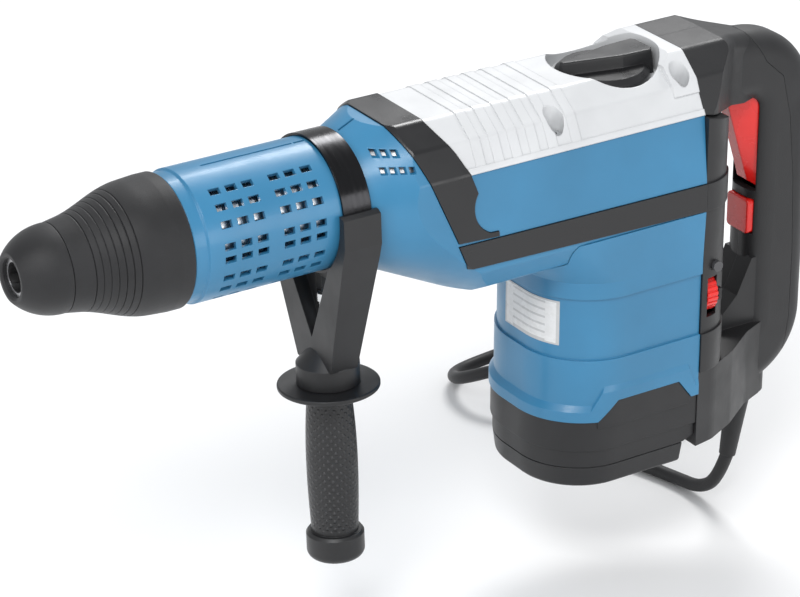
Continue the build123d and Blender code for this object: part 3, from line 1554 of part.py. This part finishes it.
lean = radians(HANDLE_LEAN)
lean_plane = Plane(origin=(STRAP_X, 0, 0), x_dir=(1, 0, 0), z_dir=(0, sin(lean), cos(lean)))
STRAP_OUTER = STRAP_R + STRAP_T
TAB_OUTER = 47.2
BASE_H = -104.0
FLANGE_H = GUARD_H + 1.5 + FREE
BOLT_R = 4.0

with BuildPart() as clamp_strap:
    with BuildSketch(Plane.YZ.offset(-STRAP_WIDTH / 2)):
        Circle(STRAP_OUTER)
        Circle(STRAP_R, mode=Mode.SUBTRACT)
    extrude(amount=STRAP_WIDTH)
save(clamp_strap.part.moved(lean_plane.location), "clamp_strap")

arm_half = [
    (TAB_OUTER - 3, 5.0),
    (TAB_OUTER, 3.0),
    (TAB_OUTER, -16.0),
    (19.0, BASE_H),
]
valley_half = [(30.0, -25.0), (24.0, -38.0), (0.0, -86.0)]
front_half = [(12.7, 6.0), (12.7, -25.0), (9.5, BASE_H)]
with BuildPart() as side_bracket:
    extrude(outline(mirrored(arm_half), Plane.YZ), amount=15, both=True)
    front_view = outline(mirrored(front_half), Plane.XZ)
    extrude(front_view, amount=60, both=True, mode=Mode.INTERSECT)
    valley = outline(valley_half + [(-24.0, -38.0), (-30.0, -25.0)], Plane.YZ)
    for side in (-1, 1):
        with BuildPart(mode=Mode.PRIVATE) as pocket:
            extrude(valley, amount=15)
        shift = 2.0 if side > 0 else -17.0
        add(pocket.part.moved(Location((shift, 0, 0))), mode=Mode.SUBTRACT)
    with BuildSketch(Plane.XY.offset(FLANGE_H)):
        Circle(19.5)
    extrude(amount=BASE_H - FLANGE_H)
    with BuildSketch(Plane.XY.offset(BASE_H)):
        Circle(19.5)
    extrude(amount=10, taper=42)
    with BuildSketch(Plane.YZ):
        Circle(STRAP_OUTER + SEAT)
    extrude(amount=30, both=True, mode=Mode.SUBTRACT)
    with BuildSketch(Plane.XY.offset(-70)):
        Circle(BOLT_R + RUNNING)
    extrude(amount=-60, mode=Mode.SUBTRACT)
    with Locations((0, 0, -61)):
        Box(10, 2 * BOLT_R + 4, 26, mode=Mode.SUBTRACT)
save(side_bracket.part.moved(lean_plane.location), "side_bracket")

with BuildPart() as guard_disc:
    with BuildSketch(Plane.XY.offset(GUARD_H - 1.5)):
        Circle(GUARD_R)
        Circle(BOLT_R + SEAT, mode=Mode.SUBTRACT)
    extrude(amount=3)
    fillet(guard_disc.edges().filter_by(GeomType.CIRCLE).sort_by(SortBy.RADIUS)[-2:], radius=1.0)
    with BuildSketch(Plane.XY.offset(GUARD_H - 4.0)):
        Circle(20.0)
        Circle(BOLT_R + SEAT, mode=Mode.SUBTRACT)
    extrude(amount=3)
save(guard_disc.part.moved(lean_plane.location), "guard_disc")

GRIP_TOP = GUARD_H - 4.0
with BuildPart() as side_grip:
    with BuildSketch(Plane.XZ):
        with BuildLine():
            Line((BOLT_R + SEAT, GRIP_TOP), (GRIP_R, GRIP_TOP))
            Spline(
                (GRIP_R, GRIP_TOP),
                (GRIP_R + 2.3, -155.0),
                (GRIP_R + 2.5, -180.0),
                (GRIP_R + 1.2, GRIP_END),
            )
            Polyline(
                (GRIP_R + 1.2, GRIP_END),
                (KNOB_R - 1.5, GRIP_END),
                (KNOB_R, GRIP_END - 2),
                (KNOB_R, BOTTOM_H + 5),
            )
            RadiusArc((KNOB_R, BOTTOM_H + 5), (KNOB_R - 5, BOTTOM_H), 5.0)
            Polyline((KNOB_R - 5, BOTTOM_H), (0, BOTTOM_H), (0, -180.0), (BOLT_R + SEAT, -180.0))
            Line((BOLT_R + SEAT, -180.0), (BOLT_R + SEAT, GRIP_TOP))
        make_face()
    revolve(axis=Axis.Z)
save(side_grip.part.moved(lean_plane.location), "side_grip")

with BuildPart() as clamp_bolt:
    with BuildSketch(Plane.XY.offset(-64)):
        Circle(BOLT_R)
    extrude(amount=-116)
    with BuildSketch(Plane.XY.offset(-64)):
        Circle(BOLT_R + 1)
    extrude(amount=5)
save(clamp_bolt.part.moved(lean_plane.location), "clamp_bolt")
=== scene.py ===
"""Looks of a mains powered demolition hammer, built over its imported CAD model.

Metres, in the CAD frame: +X runs from the chuck to the rear handle, +Z is up.
"""

from math import cos, pi, radians, sin

import bmesh
import bpy
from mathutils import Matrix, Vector


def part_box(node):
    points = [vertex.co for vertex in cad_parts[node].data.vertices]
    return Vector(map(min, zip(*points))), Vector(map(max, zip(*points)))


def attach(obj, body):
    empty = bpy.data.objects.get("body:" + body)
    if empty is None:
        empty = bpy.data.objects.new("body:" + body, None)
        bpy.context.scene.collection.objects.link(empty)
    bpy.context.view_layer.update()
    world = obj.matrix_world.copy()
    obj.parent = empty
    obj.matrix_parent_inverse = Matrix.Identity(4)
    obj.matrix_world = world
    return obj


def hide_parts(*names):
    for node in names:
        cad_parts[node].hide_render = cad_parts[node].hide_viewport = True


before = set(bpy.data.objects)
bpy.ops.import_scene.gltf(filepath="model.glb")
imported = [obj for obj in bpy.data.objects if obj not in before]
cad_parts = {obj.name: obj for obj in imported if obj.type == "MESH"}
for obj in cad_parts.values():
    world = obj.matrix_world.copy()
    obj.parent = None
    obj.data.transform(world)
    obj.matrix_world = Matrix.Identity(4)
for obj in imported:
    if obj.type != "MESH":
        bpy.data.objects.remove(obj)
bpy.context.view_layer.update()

MM = 0.001
FLOOR_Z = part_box("cord_coil")[0][2]

BLUE = (0.036, 0.2, 0.37, 1.0)
BLACK = (0.012, 0.012, 0.013, 1.0)
SOFT_BLACK = (0.017, 0.017, 0.018, 1.0)
RED = (0.78, 0.012, 0.008, 1.0)
WHITE = (0.68, 0.69, 0.7, 1.0)
GRIP_LEAN = 0.0612  # the side grip's drift along Y for each unit of Z

STEEL = (0.42, 0.42, 0.43, 1.0)
BRIGHT = (0.72, 0.73, 0.74, 1.0)
COPPER = (0.62, 0.27, 0.13, 1.0)


# ---------------------------------------------------------------- node helpers


class Nodes:
    """A material's node tree, with one short call for each kind of node it uses."""

    def __init__(self, name):
        self.material = bpy.data.materials.new(name)
        self.material.use_nodes = True
        self.tree = self.material.node_tree
        self.shader = self.tree.nodes["Principled BSDF"]
        self.place = self.tree.nodes.new("ShaderNodeTexCoord").outputs["Object"]

    def link(self, output, socket):
        self.tree.links.new(output, socket)

    def set(self, **values):
        """Sets the shader's own sockets, by name with spaces written as underscores."""
        for key, value in values.items():
            self.shader.inputs[key.replace("_", " ")].default_value = value

    def noise(self, scale, detail=3.0, stretch=(1, 1, 1)):
        mapping = self.tree.nodes.new("ShaderNodeMapping")
        mapping.inputs["Scale"].default_value = stretch
        self.link(self.place, mapping.inputs["Vector"])
        node = self.tree.nodes.new("ShaderNodeTexNoise")
        node.inputs["Scale"].default_value = scale
        node.inputs["Detail"].default_value = detail
        self.link(mapping.outputs["Vector"], node.inputs["Vector"])
        return node.outputs["Fac"]

    def math(self, operation, a, b=0.0):
        node = self.tree.nodes.new("ShaderNodeMath")
        node.operation = operation
        for socket, value in zip(node.inputs, (a, b)):
            if isinstance(value, (int, float)):
                socket.default_value = value
            else:
                self.link(value, socket)
        return node.outputs[0]

    def axes(self):
        node = self.tree.nodes.new("ShaderNodeSeparateXYZ")
        self.link(self.place, node.inputs[0])
        return node.outputs

    def ramp(self, factor, low, high, from_value=0.3, to_value=0.7):
        node = self.tree.nodes.new("ShaderNodeMapRange")
        node.inputs["From Min"].default_value = from_value
        node.inputs["From Max"].default_value = to_value
        node.inputs["To Min"].default_value = low
        node.inputs["To Max"].default_value = high
        self.link(factor, node.inputs["Value"])
        return node.outputs["Result"]

    def mix(self, factor, a, b):
        node = self.tree.nodes.new("ShaderNodeMix")
        node.data_type = "RGBA"
        self.link(factor, node.inputs["Factor"])
        for socket, value in ((node.inputs["A"], a), (node.inputs["B"], b)):
            if isinstance(value, tuple):
                socket.default_value = value
            else:
                self.link(value, socket)
        return node.outputs["Result"]

    def bump(self, height, depth, strength=1.0, normal=None):
        node = self.tree.nodes.new("ShaderNodeBump")
        node.inputs["Distance"].default_value = depth
        node.inputs["Strength"].default_value = strength
        self.link(height, node.inputs["Height"])
        if normal is not None:
            self.link(normal, node.inputs["Normal"])
        return node.outputs["Normal"]

    def rounded_edges(self, radius):
        node = self.tree.nodes.new("ShaderNodeBevel")
        node.samples = 4
        node.inputs["Radius"].default_value = radius
        return node.outputs["Normal"]


def shade(colour, factor):
    return tuple(channel * factor for channel in colour[:3]) + (1.0,)


def paint_edge_highlight(nodes, rounded, colour, highlight_colour):
    """Colour with a painted highlight: a slightly paler line where an edge is rounded off."""
    geometry = nodes.tree.nodes.new("ShaderNodeNewGeometry")
    product = nodes.tree.nodes.new("ShaderNodeVectorMath")
    product.operation = "DOT_PRODUCT"
    nodes.link(rounded, product.inputs[0])
    nodes.link(geometry.outputs["Normal"], product.inputs[1])
    # the edge mask that lightens rounded edges into a painted highlight
    edge = nodes.ramp(product.outputs["Value"], 0.55, 0.0, 0.86, 0.995)
    return nodes.mix(edge, colour, highlight_colour)


# ---------------------------------------------------------------- materials


def plastic(name, colour, roughness, grain, depth, radius=0.0008, edge=1.5, coat=0.0):
    """Moulded plastic: spark grain, faint flow marks, and softened edges with a painted highlight
    along them.
    """
    nodes = Nodes(name)
    flow = nodes.noise(14.0, 4.0)
    body = nodes.mix(nodes.ramp(flow, 0.0, 1.0), shade(colour, 0.9), shade(colour, 1.1))
    rounded = nodes.rounded_edges(radius)
    # the paler line along rounded edges is a painted highlight
    nodes.link(paint_edge_highlight(nodes, rounded, body, shade(colour, edge)), nodes.shader.inputs["Base Color"])
    smudge = nodes.noise(55.0, 5.0)
    nodes.link(
        nodes.ramp(smudge, roughness - 0.05, roughness + 0.07),
        nodes.shader.inputs["Roughness"],
    )
    height = nodes.noise(grain, 2.0)
    nodes.link(nodes.bump(height, depth, 1.0, rounded), nodes.shader.inputs["Normal"])
    nodes.set(Coat_Weight=coat, Coat_Roughness=0.12, Specular_IOR_Level=0.5)
    return nodes.material


def rubber(name, colour, grain=2600.0):
    """Soft black rubber with a powdery sheen and a pebbled surface."""
    nodes = Nodes(name)
    dust = nodes.noise(40.0, 6.0)
    body = nodes.mix(nodes.ramp(dust, 0.0, 1.0, 0.45, 0.75), colour, shade(colour, 1.7))
    rounded = nodes.rounded_edges(0.001)
    # the paler line along rounded edges is a painted highlight
    nodes.link(paint_edge_highlight(nodes, rounded, body, shade(colour, 2.2)), nodes.shader.inputs["Base Color"])
    nodes.link(nodes.ramp(dust, 0.46, 0.62), nodes.shader.inputs["Roughness"])
    pebbles = nodes.bump(nodes.noise(grain, 1.0), 0.00012, 0.8, rounded)
    nodes.link(pebbles, nodes.shader.inputs["Normal"])
    nodes.set(Sheen_Weight=0.08, Sheen_Roughness=0.5, Specular_IOR_Level=0.4)
    return nodes.material


def metal(name, colour, roughness, stretch=(1, 1, 1), scale=900.0, depth=0.00002):
    """Machined metal, with tool marks stretched along the way it was cut."""
    nodes = Nodes(name)
    marks = nodes.noise(scale, 3.0, stretch)
    stain = nodes.noise(30.0, 4.0)
    body = nodes.mix(nodes.ramp(stain, 0.0, 1.0), shade(colour, 0.82), shade(colour, 1.08))
    rounded = nodes.rounded_edges(0.0004)
    # the paler line along rounded edges is a painted highlight
    nodes.link(paint_edge_highlight(nodes, rounded, body, shade(colour, 1.3)), nodes.shader.inputs["Base Color"])
    gloss = nodes.ramp(marks, roughness - 0.06, roughness + 0.08)
    nodes.link(gloss, nodes.shader.inputs["Roughness"])
    nodes.link(nodes.bump(marks, depth, 0.6, rounded), nodes.shader.inputs["Normal"])
    nodes.set(Metallic=1.0)
    return nodes.material


def dotted_grip(name, colour, axis_point, radius, pitch, top, bottom):
    """Black grip plastic with rows of small raised dots round its axis; the dots carry a painted
    highlight and the ground between them painted shade.
    """
    nodes = Nodes(name)
    x, y, z = nodes.axes()
    across = nodes.math("SUBTRACT", x, axis_point[0])
    along = nodes.math("SUBTRACT", y, nodes.math("MULTIPLY", z, GRIP_LEAN))
    angle = nodes.math("ARCTAN2", across, along)
    column = nodes.math("MULTIPLY", angle, round(2 * pi * radius / pitch) / (2 * pi))
    row = nodes.math("DIVIDE", z, pitch * 0.5)
    stagger = nodes.math("MULTIPLY", nodes.math("PINGPONG", nodes.math("FLOOR", row), 1.0), 0.5)
    u = nodes.math("SUBTRACT", nodes.math("FRACT", nodes.math("ADD", column, stagger)), 0.5)
    v = nodes.math("MULTIPLY", nodes.math("SUBTRACT", nodes.math("FRACT", row), 0.5), 0.5)
    squared = nodes.math("ADD", nodes.math("MULTIPLY", u, u), nodes.math("MULTIPLY", v, v))
    dot = nodes.ramp(nodes.math("SQRT", squared), 1.0, 0.0, 0.1, 0.24)
    below_top = nodes.math("LESS_THAN", z, top)
    inside = nodes.math("MULTIPLY", below_top, nodes.math("GREATER_THAN", z, bottom))
    height = nodes.math("MULTIPLY", dot, inside)
    # painted highlight on the raised dots, painted shade on the ground between them
    body = nodes.mix(height, shade(colour, 0.8), shade(colour, 1.9))
    nodes.link(body, nodes.shader.inputs["Base Color"])
    rounded = nodes.rounded_edges(0.0008)
    grain = nodes.bump(nodes.noise(3000.0, 2.0), 0.00005, 0.6, rounded)
    nodes.link(nodes.bump(height, 0.0006, 1.0, grain), nodes.shader.inputs["Normal"])
    nodes.link(nodes.ramp(nodes.noise(60.0), 0.34, 0.46), nodes.shader.inputs["Roughness"])
    return nodes.material


def plug_material():
    """Black plug body with plated pins beyond its front face."""
    nodes = Nodes("plug_rubber_and_pins")
    x = nodes.axes()[0]
    pins = nodes.math("GREATER_THAN", x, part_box("plug")[1][0] - 19.05 * MM)
    dust = nodes.ramp(nodes.noise(60.0, 5.0), 0.0, 1.0)
    body = nodes.mix(dust, SOFT_BLACK, shade(SOFT_BLACK, 1.6))
    nodes.link(nodes.mix(pins, body, BRIGHT), nodes.shader.inputs["Base Color"])
    nodes.link(pins, nodes.shader.inputs["Metallic"])
    nodes.link(nodes.ramp(pins, 0.5, 0.22, 0.0, 1.0), nodes.shader.inputs["Roughness"])
    grain = nodes.bump(nodes.noise(2200.0, 2.0), 0.0001, 0.6, nodes.rounded_edges(0.001))
    nodes.link(grain, nodes.shader.inputs["Normal"])
    return nodes.material


def label_material():
    """Blank white rating plate with a thin grey border and plain grey bars."""
    nodes = Nodes("blank_label")
    low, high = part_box("rating_label")
    y, z = nodes.axes()[1:3]
    edge_y = nodes.math("ABSOLUTE", nodes.math("SUBTRACT", y, (low[1] + high[1]) / 2))
    edge_z = nodes.math("ABSOLUTE", nodes.math("SUBTRACT", z, (low[2] + high[2]) / 2))
    border = nodes.math(
        "MAXIMUM",
        nodes.math("GREATER_THAN", edge_y, (high[1] - low[1]) / 2 - 1.6 * MM),
        nodes.math("GREATER_THAN", edge_z, (high[2] - low[2]) / 2 - 1.2 * MM),
    )
    rows = nodes.math("GREATER_THAN", nodes.math("FRACT", nodes.math("DIVIDE", z, 5.2 * MM)), 0.72)
    bars = nodes.math("MULTIPLY", rows, nodes.math("LESS_THAN", edge_y, 15 * MM))
    ink = nodes.math("MULTIPLY", nodes.math("MAXIMUM", bars, border), 0.32)
    fibre = nodes.ramp(nodes.noise(300.0), 0.0, 1.0)
    paper = nodes.mix(fibre, (0.7, 0.7, 0.69, 1), (0.76, 0.76, 0.76, 1))
    nodes.link(nodes.mix(ink, paper, (0.1, 0.1, 0.11, 1)), nodes.shader.inputs["Base Color"])
    nodes.link(nodes.ramp(nodes.noise(80.0), 0.22, 0.34), nodes.shader.inputs["Roughness"])
    return nodes.material


blue_shell = plastic("blue_moulding", BLUE, 0.36, 2400.0, 0.00003, edge=1.35, coat=0.12)
black_shell = plastic("black_moulding", BLACK, 0.42, 2600.0, 0.00005, edge=2.6)
trim_shell = plastic("black_satin_trim", BLACK, 0.3, 1800.0, 0.00002, edge=2.8)
chuck_rubber = rubber("chuck_rubber", BLACK)
grip_rubber = rubber("handle_soft_rubber", SOFT_BLACK, 1900.0)
handle_shell = plastic("handle_grained_black", SOFT_BLACK, 0.44, 1300.0, 0.00012, edge=2.2)
white_shell = plastic("pale_cover", WHITE, 0.34, 2400.0, 0.00002, 0.0011, 1.12, 0.15)
red_shell = plastic("red_moulding", RED, 0.26, 2600.0, 0.00002, 0.0012, 1.1, 0.35)
lens = plastic("smoked_lens", (0.05, 0.05, 0.055, 1.0), 0.14, 900.0, 0.00001, edge=1.6, coat=0.5)
carbon = plastic("brush_carbon", (0.02, 0.02, 0.021, 1.0), 0.6, 3000.0, 0.00006)
tool_steel = metal("tool_steel", STEEL, 0.3, (0.05, 1, 1))
strap_steel = metal("dark_strap_steel", (0.035, 0.035, 0.037, 1.0), 0.2, (1, 0.08, 0.08), 500.0)
gear_steel = metal("gear_steel", shade(STEEL, 0.8), 0.36)
bearing_steel = metal("bearing_steel", BRIGHT, 0.16)
screw_steel = metal("plated_screw", BRIGHT, 0.24)
barrel_alloy = metal("turned_alloy", BRIGHT, 0.26, (1, 0.03, 0.03), 1500.0)
cast_alloy = metal("cast_alloy", shade(BRIGHT, 0.85), 0.48, scale=420.0, depth=0.00012)
iron = metal("laminated_iron", (0.2, 0.2, 0.21, 1.0), 0.45, (0.02, 0.02, 1), 1800.0, 0.00005)
copper = metal("copper_winding", COPPER, 0.3, (0.02, 0.02, 1), 1400.0, 0.0001)

grip_low, grip_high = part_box("side_grip")
FINISHES = {
    "dust_cap": chuck_rubber,
    "locking_sleeve": chuck_rubber,
    "tool_holder": tool_steel,
    "sleeve_spring": tool_steel,
    "locking_pin_upper": tool_steel,
    "locking_pin_lower": tool_steel,
    "hammer_tube": tool_steel,
    "impact_bolt": tool_steel,
    "striker": tool_steel,
    "wrist_pin": tool_steel,
    "selector_shaft": tool_steel,
    "bevel_ring_gear": gear_steel,
    "crankshaft": gear_steel,
    "crank_gear": gear_steel,
    "bevel_pinion_shaft": gear_steel,
    "bevel_spur_gear": gear_steel,
    "armature_shaft": gear_steel,
    "spindle_bearings": bearing_steel,
    "gear_bearings": bearing_steel,
    "armature_bearings": bearing_steel,
    "piston": cast_alloy,
    "connecting_rod": cast_alloy,
    "gearbox_casting": cast_alloy,
    "bearing_plate": cast_alloy,
    "gearbox_barrel": barrel_alloy,
    "armature_core": iron,
    "stator": iron,
    "commutator": copper,
    "field_coils": copper,
    "brush_holders": copper,
    "carbon_brushes": carbon,
    "cooling_fan": black_shell,
    "switch_module": black_shell,
    "front_collar": blue_shell,
    "gear_shell": blue_shell,
    "motor_housing": blue_shell,
    "front_band": trim_shell,
    "side_strips": trim_shell,
    "selector_knob": trim_shell,
    "top_cover": white_shell,
    "cover_screws": screw_steel,
    "clamp_bolt": screw_steel,
    "rating_label": label_material(),
    "base_cap": black_shell,
    "rear_cover": black_shell,
    "handle_left": handle_shell,
    "handle_right": handle_shell,
    "handle_soft_grip": grip_rubber,
    "speed_dial": red_shell,
    "trigger": red_shell,
    "lock_button": red_shell,
    "service_lamp": lens,
    "cord_sleeve": grip_rubber,
    "plug": plug_material(),
    "clamp_strap": strap_steel,
    "side_bracket": black_shell,
    "guard_disc": black_shell,
    "side_grip": dotted_grip(
        "dotted_grip_black",
        SOFT_BLACK,
        ((grip_low[0] + grip_high[0]) / 2, 0),
        15.5 * MM,
        5.4 * MM,
        -128 * MM,
        -212 * MM,
    ),
}
for node, finish in FINISHES.items():
    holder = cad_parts[node]
    if not holder.data.materials:
        holder.data.materials.append(finish)
    for place in holder.material_slots:
        place.material = finish

# ---------------------------------------------------------------- cord

CORD_D = 9 * MM
CORD_ROUTE = [
    (519.0, 2.0, -262.0),
    (516.5, 8.0, -284.0),
    (514.5, 24.0, -297.0),
    (513.0, 46.0, -300.0),
    (504.0, 78.0, -300.0),
    (490.0, 118.0, -300.0),
]
COIL_CENTRE = (545.0, 170.0)
COIL_MID_R = 48.6
COIL_ACROSS = 4
COIL_LAYERS = 3
COIL_START = 189.0  # degrees
COIL_Z = -300.0  # middle of the lowest layer
POINTS_A_TURN = 16
LEAD_OUT = [
    (500.0, 184.0, -275.0),
    (484.0, 197.0, -272.5),
    (470.0, 208.0, -274.0),
    (460.0, 222.0, -282.0),
    (458.0, 240.0, -291.0),
    (468.0, 258.0, -297.0),
    (487.0, 266.0, -299.0),
    (508.0, 264.0, -296.0),
    (528.0, 257.0, -290.0),
    (548.0, 252.0, -285.5),
]


def coil_points():
    """Turns of the coil, layer by layer, each turn a cord's width from the last."""
    points = []
    turns = COIL_ACROSS * COIL_LAYERS
    outer = COIL_MID_R + (COIL_ACROSS - 1) * 4.5
    for step in range(turns * POINTS_A_TURN + 1):
        turn = step / POINTS_A_TURN
        layer = min(int(turn / COIL_ACROSS), COIL_LAYERS - 1)
        inward = turn - layer * COIL_ACROSS
        share = inward / COIL_ACROSS * (COIL_ACROSS - 1)
        radius = outer - 9.0 * (share if layer % 2 == 0 else COIL_ACROSS - 1 - share)
        rise = 0.0
        if layer < COIL_LAYERS - 1:
            rise = min(max((inward - COIL_ACROSS + 0.5) / 0.5, 0.0), 1.0)
        angle = radians(COIL_START) - 2 * pi * turn
        points.append(
            (
                COIL_CENTRE[0] + radius * cos(angle),
                COIL_CENTRE[1] + radius * sin(angle),
                COIL_Z + 9.0 * (layer + rise),
            )
        )
    return points


def make_cord():
    curve = bpy.data.curves.new("mains_cord", "CURVE")
    curve.dimensions = "3D"
    curve.bevel_depth = CORD_D / 2
    curve.bevel_resolution = 6
    curve.resolution_u = 6
    spline = curve.splines.new("NURBS")
    route = CORD_ROUTE + coil_points() + LEAD_OUT
    spline.points.add(len(route) - 1)
    for point, place in zip(spline.points, route):
        point.co = (*(value * MM for value in place), 1.0)
    spline.order_u = 3
    spline.use_endpoint_u = True
    cord = bpy.data.objects.new("mains_cord", curve)
    bpy.context.collection.objects.link(cord)
    curve.materials.append(rubber("cord_rubber", BLACK, 1500.0))
    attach(cord, "housing")
    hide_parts("cord_tube", "cord_coil")
    return cord


make_cord()

# ---------------------------------------------------------------- studio


def make_floor():
    mesh = bpy.data.meshes.new("studio_floor")
    builder = bmesh.new()
    bmesh.ops.create_grid(builder, x_segments=2, y_segments=2, size=30.0)
    builder.to_mesh(mesh)
    builder.free()
    floor = bpy.data.objects.new("studio_floor", mesh)
    floor.location = (0.3, 0.3, FLOOR_Z - 0.0004)
    bpy.context.collection.objects.link(floor)
    nodes = Nodes("pale_floor")
    tone = nodes.ramp(nodes.noise(2.0), 0.0, 1.0)
    paint = nodes.mix(tone, (0.9, 0.9, 0.9, 1), (0.93, 0.93, 0.93, 1))
    nodes.link(paint, nodes.shader.inputs["Base Color"])
    nodes.set(Roughness=0.8, Specular_IOR_Level=0.1)
    mesh.materials.append(nodes.material)


def make_light(name, place, size, power, target=(0.27, 0.0, -0.08)):
    lamp = bpy.data.lights.new(name, "AREA")
    lamp.shape = "RECTANGLE"
    lamp.size, lamp.size_y = size
    lamp.energy = power
    holder = bpy.data.objects.new(name, lamp)
    holder.location = place
    holder.rotation_euler = (Vector(target) - Vector(place)).to_track_quat("-Z", "Y").to_euler()
    bpy.context.collection.objects.link(holder)


def make_camera():
    camera = bpy.data.cameras.new("camera")
    camera.lens = 154.6
    camera.sensor_width = 36.0
    camera.clip_end = 50.0
    holder = bpy.data.objects.new("camera", camera)
    place = Vector((-0.762, -1.591, 0.822))
    turn, dip = radians(32.65), radians(25.5)
    look = Vector((sin(turn) * cos(dip), cos(turn) * cos(dip), -sin(dip)))
    holder.location = place
    holder.rotation_euler = look.to_track_quat("-Z", "Y").to_euler()
    bpy.context.collection.objects.link(holder)
    bpy.context.scene.camera = holder


world = bpy.data.worlds.new("studio")
bpy.context.scene.world = world
world.use_nodes = True
world.node_tree.nodes["Background"].inputs["Color"].default_value = (0.95, 0.97, 1.0, 1.0)
world.node_tree.nodes["Background"].inputs["Strength"].default_value = 0.55
make_floor()
make_light("key", (-0.9, -1.2, 1.7), (1.0, 0.7), 30.0)
make_light("fill", (-1.9, -0.2, 0.5), (0.9, 1.2), 7.0)
make_light("rim", (1.3, 1.0, 1.3), (0.8, 0.5), 20.0)
make_light("side", (0.9, -1.8, 0.35), (0.9, 0.7), 7.0)
make_camera()
bpy.context.scene.view_settings.view_transform = "Standard"
